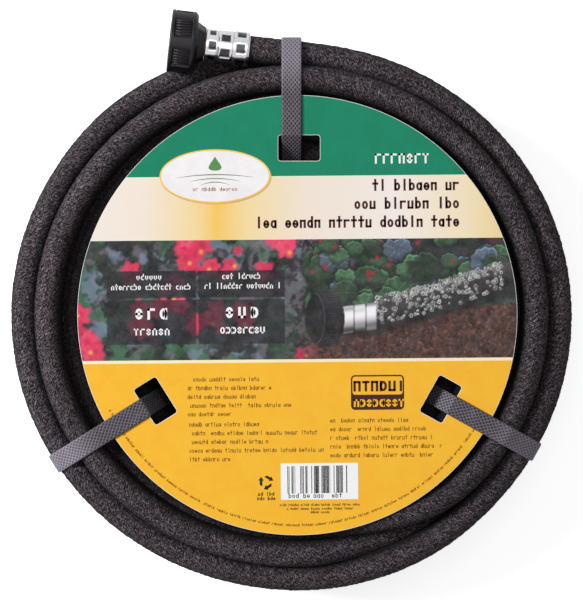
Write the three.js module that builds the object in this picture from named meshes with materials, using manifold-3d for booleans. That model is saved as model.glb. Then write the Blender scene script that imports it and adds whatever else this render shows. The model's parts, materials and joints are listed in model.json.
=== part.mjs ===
// Soaker hose pack: a coil of porous rubber hose under a round card, held by three straps, with a swivel
// nut on the free end and a capped male fitting on the end that lies inside the coil.
// Millimetres, +Z up from the surface the pack lies on, +Y towards the free end of the hose.
// The origin is the centre of the pack's footprint.
import * as THREE from "three";
import { mergeVertices } from "three/addons/utils/BufferGeometryUtils.js";
import Module from "manifold-3d";

const wasm = await Module();
wasm.setup();

const DEGREE = Math.PI / 180;
const GAP = 0.3;

// Hose
const HOSE_RADIUS = 8.75;
const HOSE_DIAMETER = 2 * HOSE_RADIUS;
const HOSE_SIDES = 12;
const BARB_CLEARANCE_RADIUS = 6.95;

// Straps
const STRAP_WIDTH = 12.5;
const STRAP_THICKNESS = 0.8;
const STRAP_GAP = 0.6;
const STRAP_ARC_STEP = 15 * DEGREE;

// Coil: nested columns of turns, the odd columns half a row lower than the even ones
const OUTER_TURN_RADIUS = 167.2;
const COLUMN_PITCH = 15.2;
const COIL_SQUASH = 0.972;
const COIL_CENTRE_Y = -10.1;
const COIL_BASE = STRAP_THICKNESS + STRAP_GAP;
const COIL_SEGMENTS = 72;
const COIL_HEIGHT = 4 * HOSE_DIAMETER;
const ODD_LOW = COIL_BASE + HOSE_DIAMETER;
const ODD_HIGH = COIL_BASE + 3 * HOSE_DIAMETER;
const EVEN_LOW = COIL_BASE + HOSE_RADIUS;
const EVEN_HIGH = COIL_BASE + 3.5 * HOSE_DIAMETER;

// Card
const CARD_RADIUS = 136.6;
const CARD_THICKNESS = 0.6;
const CARD_CENTRE = new THREE.Vector2(3.6, -9.8);
const CARD_TOP = COIL_BASE + COIL_HEIGHT + GAP + CARD_THICKNESS;
const SLOT_RADIAL = 16;
const SLOT_TANGENTIAL = 26;

// Each strap's angle about the coil's axis, how far from that axis its card slot is centred, and what
// else it holds besides the nested turns
const STRAPS = [
  { name: "strap_top", angle: 90 * DEGREE, slot: 104.1, slotShift: -4.7, holds: "run" },
  { name: "strap_left", angle: 212.1 * DEGREE, slot: 99.7, slotShift: 0, holds: "tail" },
  { name: "strap_right", angle: 330.8 * DEGREE, slot: 106.2, slotShift: 0, holds: "turns" },
];

// Free end: a straight run leaves the outer turn and ends in the swivel nut
const RUN_START_ANGLE = 83 * DEGREE;
const INLET_MOUTH = new THREE.Vector3(-76.25, 161.9, 59.9);
const NUT_RADIUS = 19.7;
const NUT_LENGTH = 16.6;
const HUB_END = 22.2;
const FERRULE_LENGTH = 27.4;
const FERRULE_RADIUS = 10.3;
const FERRULE_NECK_RADIUS = 9.5;
const FERRULE_BORE_RADIUS = 9.1;
const FERRULE_WALL = 1.2;

// Inner end: the hose leaves the lowest inner turn, runs round the hollow and bends inwards
const TAIL_RADIUS = 90.7;
const TAIL_START = -112 * DEGREE;
const TAIL_TURN = 108 * DEGREE;
const TAIL_BEND_RADIUS = 70;
const TAIL_BEND_TURN = 180 * DEGREE;
const TAIL_STEP = 12 * DEGREE;
const OUTLET_HEIGHT = 20;

// Garden hose thread: one mean radius for each side, so the flanks stay a clearance apart
const THREAD_PITCH = 2.209;
const THREAD_HALF_DEPTH = 0.45;
const MALE_THREAD_RADIUS = 12.9;
const FEMALE_THREAD_RADIUS = 13.35;
const THREAD_ROWS_PER_PITCH = 6;
const THREAD_COLUMNS = 30;

const STEM_BORE_RADIUS = 5;
const STEM_RADIUS = 6.35;
const BARB_RADIUS = 6.65;
const CAP_RADIUS = 17.6;

const columnRadius = (column) => OUTER_TURN_RADIUS - (column - 1) * COLUMN_PITCH;

// ---- finishes ----

const finish = (color, roughness, metalness) =>
  new THREE.MeshStandardMaterial({ color, roughness, metalness });

const porousRubber = finish(0x2b2829, 0.85, 0);
const blackPlastic = finish(0x1a1a1b, 0.4, 0);
const sealRubber = finish(0x151515, 0.7, 0);
const whitePlastic = finish(0xd8d8d2, 0.5, 0);
const brassMetal = finish(0xb08d4a, 0.35, 1);
const crimpedSteel = finish(0xc9c9c6, 0.25, 1);
const printedCard = finish(0xe8c56a, 0.5, 0);
const greyBand = finish(0x6d6871, 0.5, 0);

// ---- shape helpers ----

// A closed ring of section points about +Z, listed outside wall upwards.
function lathe(profile, segments) {
  const points = profile.map(([radius, height]) => new THREE.Vector2(radius, height));
  const onAxis = profile[0][0] === 0 && profile.at(-1)[0] === 0;
  if (!onAxis) points.push(points[0].clone());
  const geometry = new THREE.LatheGeometry(points, segments);
  geometry.rotateX(Math.PI / 2);
  return geometry;
}

function toSolid(geometry) {
  const bare = geometry.clone();
  bare.deleteAttribute("normal");
  bare.deleteAttribute("uv");
  const merged = mergeVertices(bare, 1e-4);
  return new wasm.Manifold(
    new wasm.Mesh({
      numProp: 3,
      vertProperties: merged.attributes.position.array,
      triVerts: new Uint32Array(merged.index.array),
    }),
  );
}

function toGeometry(solid) {
  const mesh = solid.getMesh();
  const geometry = new THREE.BufferGeometry();
  geometry.setAttribute("position", new THREE.BufferAttribute(mesh.vertProperties, 3));
  geometry.setIndex(new THREE.BufferAttribute(mesh.triVerts, 1));
  geometry.computeVertexNormals();
  return geometry;
}

const cut = (geometry, ...tools) =>
  toGeometry(tools.reduce((left, tool) => left.subtract(toSolid(tool)), toSolid(geometry)));

function part(name, geometry, material) {
  const mesh = new THREE.Mesh(geometry, material);
  mesh.name = name;
  return mesh;
}

// A cylinder along +Z from one height to another.
function rod(radius, from, to, sides = 24) {
  const geometry = new THREE.CylinderGeometry(radius, radius, to - from, sides);
  geometry.rotateX(Math.PI / 2);
  geometry.translate(0, 0, (from + to) / 2);
  return geometry;
}

// A group whose +Z points along the direction, with its origin at the place.
function frameAt(place, direction) {
  const group = new THREE.Group();
  group.position.copy(place);
  group.quaternion.setFromUnitVectors(new THREE.Vector3(0, 0, 1), direction);
  group.updateMatrixWorld(true);
  return group;
}

const placedIn = (group, geometry) => geometry.applyMatrix4(group.matrixWorld);

function regularSection(radius, sides) {
  const corner = (_, i) => {
    const angle = (i / sides) * 2 * Math.PI;
    return new THREE.Vector2(radius * Math.cos(angle), radius * Math.sin(angle));
  };
  return new THREE.Shape(Array.from({ length: sides }, corner));
}

function tube(points) {
  const extrudePath = new THREE.CatmullRomCurve3(points, false, "centripetal");
  const section = regularSection(HOSE_RADIUS, HOSE_SIDES);
  return new THREE.ExtrudeGeometry(section, {
    steps: 2 * (points.length - 1),
    extrudePath,
    bevelEnabled: false,
  });
}

// ---- threads ----

// Section points of a thread's wall, which cutThread then winds into a helix.
function threadRows(radius, from, to) {
  const count = Math.round((Math.abs(to - from) * THREAD_ROWS_PER_PITCH) / THREAD_PITCH);
  const row = (_, i) => [radius, from + ((to - from) * i) / count];
  return Array.from({ length: count + 1 }, row);
}

function cutThread(geometry, radius, from, to) {
  const position = geometry.getAttribute("position");
  for (let i = 0; i < position.count; i += 1) {
    const x = position.getX(i);
    const y = position.getY(i);
    const z = position.getZ(i);
    const onWall = Math.abs(Math.hypot(x, y) - radius) < 0.01;
    if (onWall && z > from + 0.05 && z < to - 0.05) {
      const turn = z / THREAD_PITCH - Math.atan2(y, x) / (2 * Math.PI);
      const wave = 1 - 4 * Math.abs(turn - Math.floor(turn) - 0.5);
      const scale = 1 + (THREAD_HALF_DEPTH * wave) / radius;
      position.setXY(i, x * scale, y * scale);
    }
  }
  return geometry;
}

// ---- hose ----

function onOuterTurn(angle, height) {
  const x = OUTER_TURN_RADIUS * Math.cos(angle);
  const y = COIL_CENTRE_Y + COIL_SQUASH * OUTER_TURN_RADIUS * Math.sin(angle);
  return new THREE.Vector3(x, y, height);
}

const runStart = onOuterTurn(RUN_START_ANGLE, ODD_HIGH);
const inletDirection = runStart.clone().sub(INLET_MOUTH).normalize();
const inlet = frameAt(INLET_MOUTH, inletDirection);
const runEnd = runStart.distanceTo(INLET_MOUTH);

// The coil's section: straight faces between the turns at its corners, and an arc round each of those.
function coilSection() {
  const arc = (column, height, from, to) => {
    const radius = columnRadius(column);
    section.absarc(radius, height, HOSE_RADIUS, from * DEGREE, to * DEGREE, false);
  };
  const section = new THREE.Path();
  section.moveTo(columnRadius(4), COIL_BASE);
  arc(2, EVEN_LOW, -90, -60);
  arc(1, ODD_LOW, -60, 0);
  arc(1, ODD_HIGH, 0, 60);
  arc(2, EVEN_HIGH, 60, 90);
  arc(4, EVEN_HIGH, 90, 120);
  arc(5, ODD_HIGH, 120, 180);
  arc(5, ODD_LOW, 180, 240);
  arc(4, EVEN_LOW, 240, 270);
  const points = section.getPoints(1).map((point) => [point.x, point.y]);
  points.pop();
  return points;
}

function makeCoil() {
  const ring = lathe(coilSection(), COIL_SEGMENTS);
  ring.scale(1, COIL_SQUASH, 1);
  ring.translate(0, COIL_CENTRE_Y, 0);
  const runChannel = placedIn(inlet, rod(HOSE_RADIUS + 2 * GAP, 0, runEnd));
  const ferruleChannel = placedIn(inlet, rod(FERRULE_RADIUS + 2 * GAP, 0, HUB_END + FERRULE_LENGTH + 1));
  const nutChannel = placedIn(inlet, rod(NUT_RADIUS + 2 * GAP, -2 * NUT_LENGTH, HUB_END));
  return part("hose_coil", cut(ring, runChannel, ferruleChannel, nutChannel), porousRubber);
}

function makeInletRun() {
  const along = (distance) => inletDirection.clone().multiplyScalar(distance).add(INLET_MOUTH);
  const from = HUB_END + GAP + FERRULE_WALL + GAP;
  const route = tube([runEnd - GAP, (from + runEnd) / 2, from].map(along));
  const bore = placedIn(inlet, rod(BARB_CLEARANCE_RADIUS, from - 1, HUB_END + FERRULE_LENGTH - 3));
  return part("hose_inlet_run", cut(route, bore), porousRubber);
}

// Centre line of the inner end: part of a turn, then a rising bend that turns inwards.
function tailRoute() {
  const points = [];
  const add = (x, y, height) => {
    points.push(new THREE.Vector3(x, COIL_CENTRE_Y + COIL_SQUASH * y, height));
  };
  const turnSteps = Math.round(TAIL_TURN / TAIL_STEP);
  for (let step = 0; step < turnSteps; step += 1) {
    const angle = TAIL_START - step * TAIL_STEP;
    add(TAIL_RADIUS * Math.cos(angle), TAIL_RADIUS * Math.sin(angle), EVEN_LOW);
  }
  const bendStart = TAIL_START - TAIL_TURN;
  const offset = TAIL_RADIUS - TAIL_BEND_RADIUS;
  const bendSteps = Math.round(TAIL_BEND_TURN / TAIL_STEP);
  for (let step = 0; step <= bendSteps; step += 1) {
    const angle = bendStart - step * TAIL_STEP;
    const x = offset * Math.cos(bendStart) + TAIL_BEND_RADIUS * Math.cos(angle);
    const y = offset * Math.sin(bendStart) + TAIL_BEND_RADIUS * Math.sin(angle);
    const rise = THREE.MathUtils.smoothstep(step, 0, bendSteps);
    add(x, y, EVEN_LOW + rise * (OUTLET_HEIGHT - EVEN_LOW));
  }
  return points;
}

const tail = tailRoute();
const tailEnd = tail.at(-1);
const outletDirection = tailEnd.clone().sub(tail.at(-2)).setZ(0).normalize();
outletDirection.applyAxisAngle(new THREE.Vector3(0, 0, 1), -TAIL_STEP / 2);
const outlet = frameAt(tailEnd, outletDirection);

function makeOutletRun() {
  const inFerrule = FERRULE_LENGTH - FERRULE_WALL - GAP;
  const along = (distance) => outletDirection.clone().multiplyScalar(distance).add(tailEnd);
  const route = tube([...tail, along(inFerrule / 2), along(inFerrule)]);
  const bore = placedIn(outlet, rod(BARB_CLEARANCE_RADIUS, 3, inFerrule + 1));
  return part("hose_outlet_run", cut(route, bore), porousRubber);
}

// ---- inlet fitting, with +Z from the nut's mouth into the hose ----

const WASHER_BASE = 7.3;
const WASHER_THICKNESS = 3;
const WASHER_RADIUS = 12.6;
const WASHER_BORE_RADIUS = 8;
const DISC_BASE = WASHER_BASE + WASHER_THICKNESS + GAP;
const DISC_THICKNESS = 1.2;
const DISC_HOLE_RADIUS = 1.6;
const FLANGE_BASE = DISC_BASE + DISC_THICKNESS + GAP;
const FLANGE_THICKNESS = 2.2;
const NUT_WALL_BASE = FLANGE_BASE + FLANGE_THICKNESS + GAP;
const NECK_RADIUS = 8.1;
const THREAD_START = 1;
const GRIP_PANELS = 6;
const GRIP_PANEL_DEPTH = 0.8;
const GRIP_PANEL_WIDTH = 16;
const GRIP_PANEL_LENGTH = 11.5;
const GRIP_PANEL_BASE = 2;

// Three barbs on a hollow stem, from one height to another.
function barbs(from, to) {
  const pitch = (to - from) / 4;
  return [1, 2, 3].flatMap((i) => [
    [STEM_RADIUS, from + i * pitch - 0.1],
    [BARB_RADIUS, from + i * pitch],
    [STEM_RADIUS, from + (i + 0.8) * pitch],
  ]);
}

function makeSwivelNut() {
  const profile = [
    [FEMALE_THREAD_RADIUS + 0.6, 0],
    [NUT_RADIUS - 0.7, 0],
    [NUT_RADIUS, 0.8],
    [NUT_RADIUS, NUT_LENGTH - 2.2],
    [NUT_RADIUS - 2.1, NUT_LENGTH],
    [13.6, NUT_LENGTH],
    [10.4, HUB_END],
    [NECK_RADIUS + GAP, HUB_END],
    [NECK_RADIUS + GAP, NUT_WALL_BASE],
    [FEMALE_THREAD_RADIUS, NUT_WALL_BASE],
    ...threadRows(FEMALE_THREAD_RADIUS, WASHER_BASE - GAP, THREAD_START),
  ];
  const body = lathe(profile, THREAD_COLUMNS);
  cutThread(body, FEMALE_THREAD_RADIUS, THREAD_START, WASHER_BASE - GAP);
  const panels = Array.from({ length: GRIP_PANELS }, (_, i) => {
    const panel = new THREE.BoxGeometry(4, GRIP_PANEL_WIDTH, GRIP_PANEL_LENGTH);
    const outward = NUT_RADIUS * Math.cos(GRIP_PANEL_WIDTH / 2 / NUT_RADIUS) - GRIP_PANEL_DEPTH + 2;
    panel.translate(outward, 0, GRIP_PANEL_BASE + GRIP_PANEL_LENGTH / 2);
    return panel.rotateZ(((i + 0.5) / GRIP_PANELS) * 2 * Math.PI);
  });
  return part("inlet_swivel_nut", cut(body, ...panels), blackPlastic);
}

function makeWasher(name, base, thickness) {
  const profile = [
    [WASHER_BORE_RADIUS, base],
    [WASHER_RADIUS, base],
    [WASHER_RADIUS, base + thickness],
    [WASHER_BORE_RADIUS, base + thickness],
  ];
  return part(name, lathe(profile, 24), sealRubber);
}

function makeFlowDisc() {
  const profile = [
    [DISC_HOLE_RADIUS, DISC_BASE],
    [WASHER_RADIUS, DISC_BASE],
    [WASHER_RADIUS, DISC_BASE + DISC_THICKNESS],
    [DISC_HOLE_RADIUS, DISC_BASE + DISC_THICKNESS],
  ];
  return part("inlet_flow_disc", lathe(profile, 24), whitePlastic);
}

function makeTailpiece() {
  const stemEnd = HUB_END + FERRULE_LENGTH - 4;
  const profile = [
    [STEM_BORE_RADIUS, FLANGE_BASE],
    [WASHER_RADIUS, FLANGE_BASE],
    [WASHER_RADIUS, FLANGE_BASE + FLANGE_THICKNESS],
    [NECK_RADIUS, FLANGE_BASE + FLANGE_THICKNESS],
    [NECK_RADIUS, HUB_END],
    [STEM_RADIUS, HUB_END],
    ...barbs(HUB_END + 2, stemEnd),
    [STEM_RADIUS, stemEnd],
    [STEM_BORE_RADIUS, stemEnd],
  ];
  return part("inlet_tailpiece", lathe(profile, 24), brassMetal);
}

// The crimped sleeve, with its closed end at one height and its mouth over the hose at the other.
function makeFerrule(name, closedEnd, mouth) {
  const towardsMouth = Math.sign(mouth - closedEnd);
  const wallInside = closedEnd + towardsMouth * FERRULE_WALL;
  const rising = [
    [STEM_RADIUS + 2 * GAP, closedEnd],
    [FERRULE_NECK_RADIUS, closedEnd],
    [FERRULE_RADIUS, mouth - towardsMouth * 0.8],
    [FERRULE_RADIUS - GAP, mouth],
    [FERRULE_BORE_RADIUS, mouth],
    [FERRULE_BORE_RADIUS, wallInside],
    [STEM_RADIUS + 2 * GAP, wallInside],
  ];
  const profile = towardsMouth > 0 ? rising : rising.reverse();
  return part(name, lathe(profile, 32), crimpedSteel);
}

function makeInletFitting() {
  const closedEnd = HUB_END + GAP;
  inlet.add(
    makeSwivelNut(),
    makeWasher("inlet_washer", WASHER_BASE, WASHER_THICKNESS),
    makeFlowDisc(),
    makeTailpiece(),
    makeFerrule("inlet_ferrule", closedEnd, closedEnd + FERRULE_LENGTH),
  );
  return inlet;
}

// ---- outlet fitting, with +Z from the hose out of its end ----

const COLLAR_BASE = FERRULE_LENGTH + GAP;
const COLLAR_END = COLLAR_BASE + 3.3;
const COLLAR_RADIUS = 13.5;
const STEM_END = COLLAR_END + 10.2;
const CAP_RIM = COLLAR_END + GAP;
const CAP_THREAD_END = STEM_END - 0.8;
const CAP_WASHER_THICKNESS = 2.2;
const CAP_WASHER_BASE = STEM_END + GAP;
const CAP_FLOOR = CAP_WASHER_BASE + CAP_WASHER_THICKNESS + GAP;
const CAP_END = CAP_FLOOR + 2.5;

function makeOutletStem() {
  const profile = [
    [STEM_BORE_RADIUS, 4],
    [STEM_RADIUS, 4],
    ...barbs(4, COLLAR_BASE - 2).reverse().map(([radius, height]) => [radius, COLLAR_BASE + 2 - height]),
    [STEM_RADIUS, COLLAR_BASE],
    [COLLAR_RADIUS, COLLAR_BASE],
    [COLLAR_RADIUS, COLLAR_END],
    ...threadRows(MALE_THREAD_RADIUS, COLLAR_END, STEM_END - 0.8),
    [MALE_THREAD_RADIUS - 0.8, STEM_END],
    [STEM_BORE_RADIUS, STEM_END],
  ];
  const body = lathe(profile, THREAD_COLUMNS);
  cutThread(body, MALE_THREAD_RADIUS, COLLAR_END, STEM_END - 0.8);
  return part("outlet_stem", body, brassMetal);
}

function makeEndCap() {
  const profile = [
    [0, CAP_FLOOR],
    [FEMALE_THREAD_RADIUS, CAP_FLOOR],
    ...threadRows(FEMALE_THREAD_RADIUS, CAP_THREAD_END, CAP_RIM + 0.6),
    [FEMALE_THREAD_RADIUS + 0.6, CAP_RIM],
    [CAP_RADIUS, CAP_RIM],
    [CAP_RADIUS, CAP_END - 1.2],
    [CAP_RADIUS - 1.2, CAP_END],
    [0, CAP_END],
  ];
  const body = lathe(profile, THREAD_COLUMNS);
  cutThread(body, FEMALE_THREAD_RADIUS, CAP_RIM + 0.6, CAP_THREAD_END);
  return part("outlet_end_cap", body, blackPlastic);
}

function makeOutletFitting() {
  outlet.add(
    makeFerrule("outlet_ferrule", FERRULE_LENGTH, 0),
    makeOutletStem(),
    makeWasher("outlet_cap_washer", CAP_WASHER_BASE, CAP_WASHER_THICKNESS),
    makeEndCap(),
  );
  return outlet;
}

// ---- card and straps ----

// The coil is narrower in Y, so a turn's distance from the axis depends on the direction.
const reach = (angle) => 1 / Math.hypot(Math.cos(angle), Math.sin(angle) / COIL_SQUASH);

function rounded(width, height, radius) {
  const path = new THREE.Path();
  const x = width / 2 - radius;
  const y = height / 2 - radius;
  path.absarc(x, y, radius, 0, 90 * DEGREE, false);
  path.absarc(-x, y, radius, 90 * DEGREE, 180 * DEGREE, false);
  path.absarc(-x, -y, radius, 180 * DEGREE, 270 * DEGREE, false);
  path.absarc(x, -y, radius, 270 * DEGREE, 360 * DEGREE, false);
  return path.getPoints(2);
}

function makeCard() {
  const outline = new THREE.Shape();
  outline.absarc(CARD_CENTRE.x, CARD_CENTRE.y, CARD_RADIUS, 0, 2 * Math.PI, false);
  const outer = new THREE.Shape(outline.getPoints(32).slice(0, -1));
  outer.holes = STRAPS.map(({ angle, slot, slotShift }) => {
    const corners = rounded(SLOT_RADIAL, SLOT_TANGENTIAL, 2.5).map((corner) => {
      const placed = new THREE.Vector2(corner.x + slot, corner.y + slotShift);
      return placed.rotateAround(new THREE.Vector2(), angle).add(new THREE.Vector2(0, COIL_CENTRE_Y));
    });
    return new THREE.Path(corners);
  });
  const card = new THREE.ExtrudeGeometry(outer, { depth: CARD_THICKNESS, bevelEnabled: false });
  card.translate(0, 0, CARD_TOP - CARD_THICKNESS);
  return part("label_card", card, printedCard);
}

// The outline of a band pulled tight round discs, each given as its centre and radius.
function tightOutline(discs, offset) {
  const around = Math.round((2 * Math.PI) / STRAP_ARC_STEP);
  const points = discs.flatMap(([x, y, radius]) =>
    Array.from({ length: around }, (_, i) => {
      const angle = i * STRAP_ARC_STEP;
      const size = radius + offset;
      return new THREE.Vector2(x + size * Math.cos(angle), y + size * Math.sin(angle));
    }),
  );
  points.sort((a, b) => a.x - b.x || a.y - b.y);
  const turnsLeft = (a, b, c) => (b.x - a.x) * (c.y - a.y) - (b.y - a.y) * (c.x - a.x) > 1e-6;
  const chain = (list) => {
    const kept = [];
    for (const point of list) {
      while (kept.length > 1 && !turnsLeft(kept.at(-2), kept.at(-1), point)) kept.pop();
      kept.push(point);
    }
    return kept.slice(0, -1);
  };
  return [...chain(points), ...chain(points.reverse())];
}

function makeStrap({ name, angle, slot, holds }) {
  const scale = reach(angle);
  const turn = (column, height) => [columnRadius(column) * scale, height, HOSE_RADIUS];
  const discs = [
    turn(1, ODD_LOW),
    turn(1, ODD_HIGH),
    turn(2, EVEN_LOW),
    turn(2, EVEN_HIGH),
    turn(4, EVEN_LOW),
    turn(4, EVEN_HIGH),
    turn(5, ODD_LOW),
    turn(5, ODD_HIGH),
    [slot + SLOT_RADIAL / 2, CARD_TOP, 0],
    [CARD_RADIUS, CARD_TOP, 0],
  ];
  if (holds === "tail") discs.push([TAIL_RADIUS * scale, EVEN_LOW, HOSE_RADIUS]);
  if (holds === "run") {
    const beside = runStart.clone().lerp(INLET_MOUTH, runStart.x / (runStart.x - INLET_MOUTH.x));
    discs.push([beside.y - COIL_CENTRE_Y, beside.z, HOSE_RADIUS + 2 * GAP]);
  }
  const band = new THREE.Shape(tightOutline(discs, STRAP_GAP + STRAP_THICKNESS));
  band.holes = [new THREE.Path(tightOutline(discs, STRAP_GAP))];
  const strap = new THREE.ExtrudeGeometry(band, { depth: STRAP_WIDTH, bevelEnabled: false });
  strap.rotateX(Math.PI / 2);
  strap.translate(0, STRAP_WIDTH / 2, 0);
  strap.rotateZ(angle);
  strap.translate(0, COIL_CENTRE_Y, 0);
  return part(name, strap, greyBand);
}

const pack = new THREE.Group();
pack.add(makeCoil(), makeInletRun(), makeOutletRun());
pack.add(makeInletFitting(), makeOutletFitting());
pack.add(makeCard(), ...STRAPS.map(makeStrap));

export default pack;
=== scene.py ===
"""Looks of a soaker hose pack: porous hose, two end fittings, a printed round card and three straps.

Lengths are written in millimetres and turned into metres by MM. The pack lies on the floor with its card up.
"""

from __future__ import annotations

import json
import logging
import math
from dataclasses import dataclass, field
from enum import Enum
from typing import Callable, Iterable, Sequence

import bpy
import numpy as np
from mathutils import Matrix, Vector
from mathutils.geometry import delaunay_2d_cdt


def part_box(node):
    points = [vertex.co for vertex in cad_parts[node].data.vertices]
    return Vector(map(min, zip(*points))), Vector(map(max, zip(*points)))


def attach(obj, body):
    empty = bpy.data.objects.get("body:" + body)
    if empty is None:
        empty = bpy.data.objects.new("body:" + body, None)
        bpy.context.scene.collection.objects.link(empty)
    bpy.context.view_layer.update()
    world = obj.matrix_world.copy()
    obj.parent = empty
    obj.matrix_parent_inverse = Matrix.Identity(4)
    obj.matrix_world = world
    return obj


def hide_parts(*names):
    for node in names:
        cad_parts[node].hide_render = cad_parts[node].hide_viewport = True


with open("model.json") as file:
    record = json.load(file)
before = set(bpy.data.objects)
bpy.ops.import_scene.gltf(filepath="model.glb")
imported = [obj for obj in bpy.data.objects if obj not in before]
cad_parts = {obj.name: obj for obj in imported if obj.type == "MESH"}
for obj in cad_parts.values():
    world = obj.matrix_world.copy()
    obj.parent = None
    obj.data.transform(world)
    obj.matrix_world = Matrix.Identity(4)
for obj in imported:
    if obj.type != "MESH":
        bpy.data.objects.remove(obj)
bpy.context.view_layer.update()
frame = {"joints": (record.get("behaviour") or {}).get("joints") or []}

MM = 0.001
TAU = 2 * math.pi
LOG = logging.getLogger("soaker_hose")

HOSE_RADIUS = 8.75
HOSE_BORE_RADIUS = 6.9
THREAD_PITCH = 2.209
SMALL_GAP = 0.3
COIL_AXIS_Y = -10.1
FERRULE_LENGTH = 27.4

Colour = tuple[float, float, float, float]


class Body(Enum):
    """The moving bodies of the pack."""

    PACK = "pack"
    NUT = "inlet_nut"
    CAP = "end_cap"
    CAP_WASHER = "cap_washer"


# ---------------------------------------------------------------- small helpers


def to_linear(display: np.ndarray) -> np.ndarray:
    """Linear values of display values from 0 to 255."""
    part = np.clip(display, 0, 255) / 255
    return np.where(part <= 0.04045, part / 12.92, ((part + 0.055) / 1.055) ** 2.4)


def srgb(red: float, green: float, blue: float) -> Colour:
    """Turns display values from 0 to 255 into a linear colour.

    Args:
        red: Red display value.
        green: Green display value.
        blue: Blue display value.

    Returns:
        The linear colour with full alpha.
    """
    return (*to_linear(np.array([red, green, blue], dtype=float)).tolist(), 1.0)


def smoothstep(value: np.ndarray | float, low: float, high: float) -> np.ndarray:
    """Smooth rise from 0 at low to 1 at high."""
    part = np.clip((np.asarray(value, dtype=float) - low) / (high - low), 0.0, 1.0)
    return part * part * (3 - 2 * part)


def joint_frame(name: str) -> tuple[np.ndarray, np.ndarray]:
    """Finds where a hinge of the frame lies.

    Args:
        name: The joint's name.

    Returns:
        Its point in millimetres and its axis.
    """
    joint = next(item for item in frame["joints"] if item["name"] == name)
    return np.array(joint["pos_m"]) / MM, np.array(joint["axis"])


def axis_matrix(origin: Sequence[float], direction: Sequence[float]) -> np.ndarray:
    """Matrix that puts local +Z along a direction.

    Args:
        origin: Local origin in millimetres.
        direction: Direction of local +Z.

    Returns:
        A 4 by 4 matrix in millimetres.
    """
    turn = Vector((0, 0, 1)).rotation_difference(Vector(direction))
    return np.array(Matrix.Translation(Vector(origin)) @ turn.to_matrix().to_4x4())


def moved(points: np.ndarray, matrix: np.ndarray) -> np.ndarray:
    """Applies a 4 by 4 matrix to an array of points."""
    return points @ matrix[:3, :3].T + matrix[:3, 3]


def circle(radius: float | np.ndarray, turns: np.ndarray, centre: Sequence[float] = (0.0, 0.0)) -> np.ndarray:
    """Plane points at a radius and at angles in radians about a centre."""
    return np.stack([centre[0] + radius * np.cos(turns), centre[1] + radius * np.sin(turns)], axis=-1)


def grid_quads(rows: int, columns: int, wrap_rows: bool, wrap_columns: bool) -> np.ndarray:
    """Lists the quads of a grid of vertices stored row by row.

    Args:
        rows: Number of rows.
        columns: Number of vertices in a row.
        wrap_rows: Whether the last row joins the first.
        wrap_columns: Whether the last column joins the first.

    Returns:
        An array of quads.
    """
    row = np.arange(rows if wrap_rows else rows - 1)
    column = np.arange(columns if wrap_columns else columns - 1)
    r, c = np.meshgrid(row, column, indexing="ij")
    r_next = (r + 1) % rows
    c_next = (c + 1) % columns
    corners = [r * columns + c, r * columns + c_next, r_next * columns + c_next, r_next * columns + c]
    return np.stack(corners, axis=-1).reshape(-1, 4)


def make_mesh(
    name: str,
    points: np.ndarray,
    faces: Iterable[Sequence[int]],
    material: bpy.types.Material,
    smooth: bool = True,
) -> bpy.types.Object:
    """Makes a mesh object from points in millimetres.

    Args:
        name: The object's name.
        points: Vertex positions in millimetres.
        faces: Vertex indices of each face.
        material: Its material.
        smooth: Whether the faces are shaded smooth.

    Returns:
        The new object, linked to the scene.
    """
    mesh = bpy.data.meshes.new(name)
    mesh.from_pydata((np.asarray(points) * MM).tolist(), [], [list(map(int, face)) for face in faces])
    mesh.materials.append(material)
    if smooth:
        mesh.shade_smooth()
    mesh.update()
    item = bpy.data.objects.new(name, mesh)
    bpy.context.scene.collection.objects.link(item)
    return item


def store(item: bpy.types.Object, name: str, kind: str, values: np.ndarray) -> None:
    """Stores one value for each point of a piece.

    Args:
        item: The piece.
        name: The attribute's name.
        kind: The attribute's type.
        values: A number, vector or colour for each point.
    """
    key = {"FLOAT": "value", "FLOAT_VECTOR": "vector", "FLOAT_COLOR": "color"}[kind]
    item.data.attributes.new(name, kind, "POINT").data.foreach_set(key, np.asarray(values).reshape(-1))


def place(item: bpy.types.Object, body: Body, slot: str, *nodes: str) -> bpy.types.Object:
    """Attaches a finished piece to its body, hides the CAD nodes that it stands for and logs it.

    Args:
        item: The piece.
        body: The body that it moves with.
        slot: The record's material slot; not used.
        nodes: CAD nodes that it stands for.

    Returns:
        The piece.
    """
    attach(item, body.value)
    if nodes:
        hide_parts(*nodes)
    LOG.info("%s: %d faces, rides on %s", item.name, len(item.data.polygons), body.value)
    return item


# ---------------------------------------------------------------- node trees


class Term:
    """One output in a node tree, with the usual signs for sums of numbers.

    Attributes:
        sheet: The tree that it belongs to.
        socket: The output.
    """

    def __init__(self, sheet: Sheet, socket: bpy.types.NodeSocket) -> None:
        """Wraps an output."""
        self.sheet = sheet
        self.socket = socket

    def __add__(self, other: Value) -> Term:
        """Sum."""
        return self.sheet.math("ADD", self, other)

    def __sub__(self, other: Value) -> Term:
        """Difference."""
        return self.sheet.math("SUBTRACT", self, other)

    def __rsub__(self, other: Value) -> Term:
        """Difference from a plain number."""
        return self.sheet.math("SUBTRACT", other, self)

    def __mul__(self, other: Value) -> Term:
        """Product."""
        return self.sheet.math("MULTIPLY", self, other)

    def __truediv__(self, other: Value) -> Term:
        """Quotient."""
        return self.sheet.math("DIVIDE", self, other)

    def __abs__(self) -> Term:
        """Absolute value."""
        return self.sheet.math("ABSOLUTE", self)


Value = Term | float | tuple
SOCKETS = {int: "NodeSocketInt", float: "NodeSocketFloat", tuple: "NodeSocketVector"}


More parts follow.
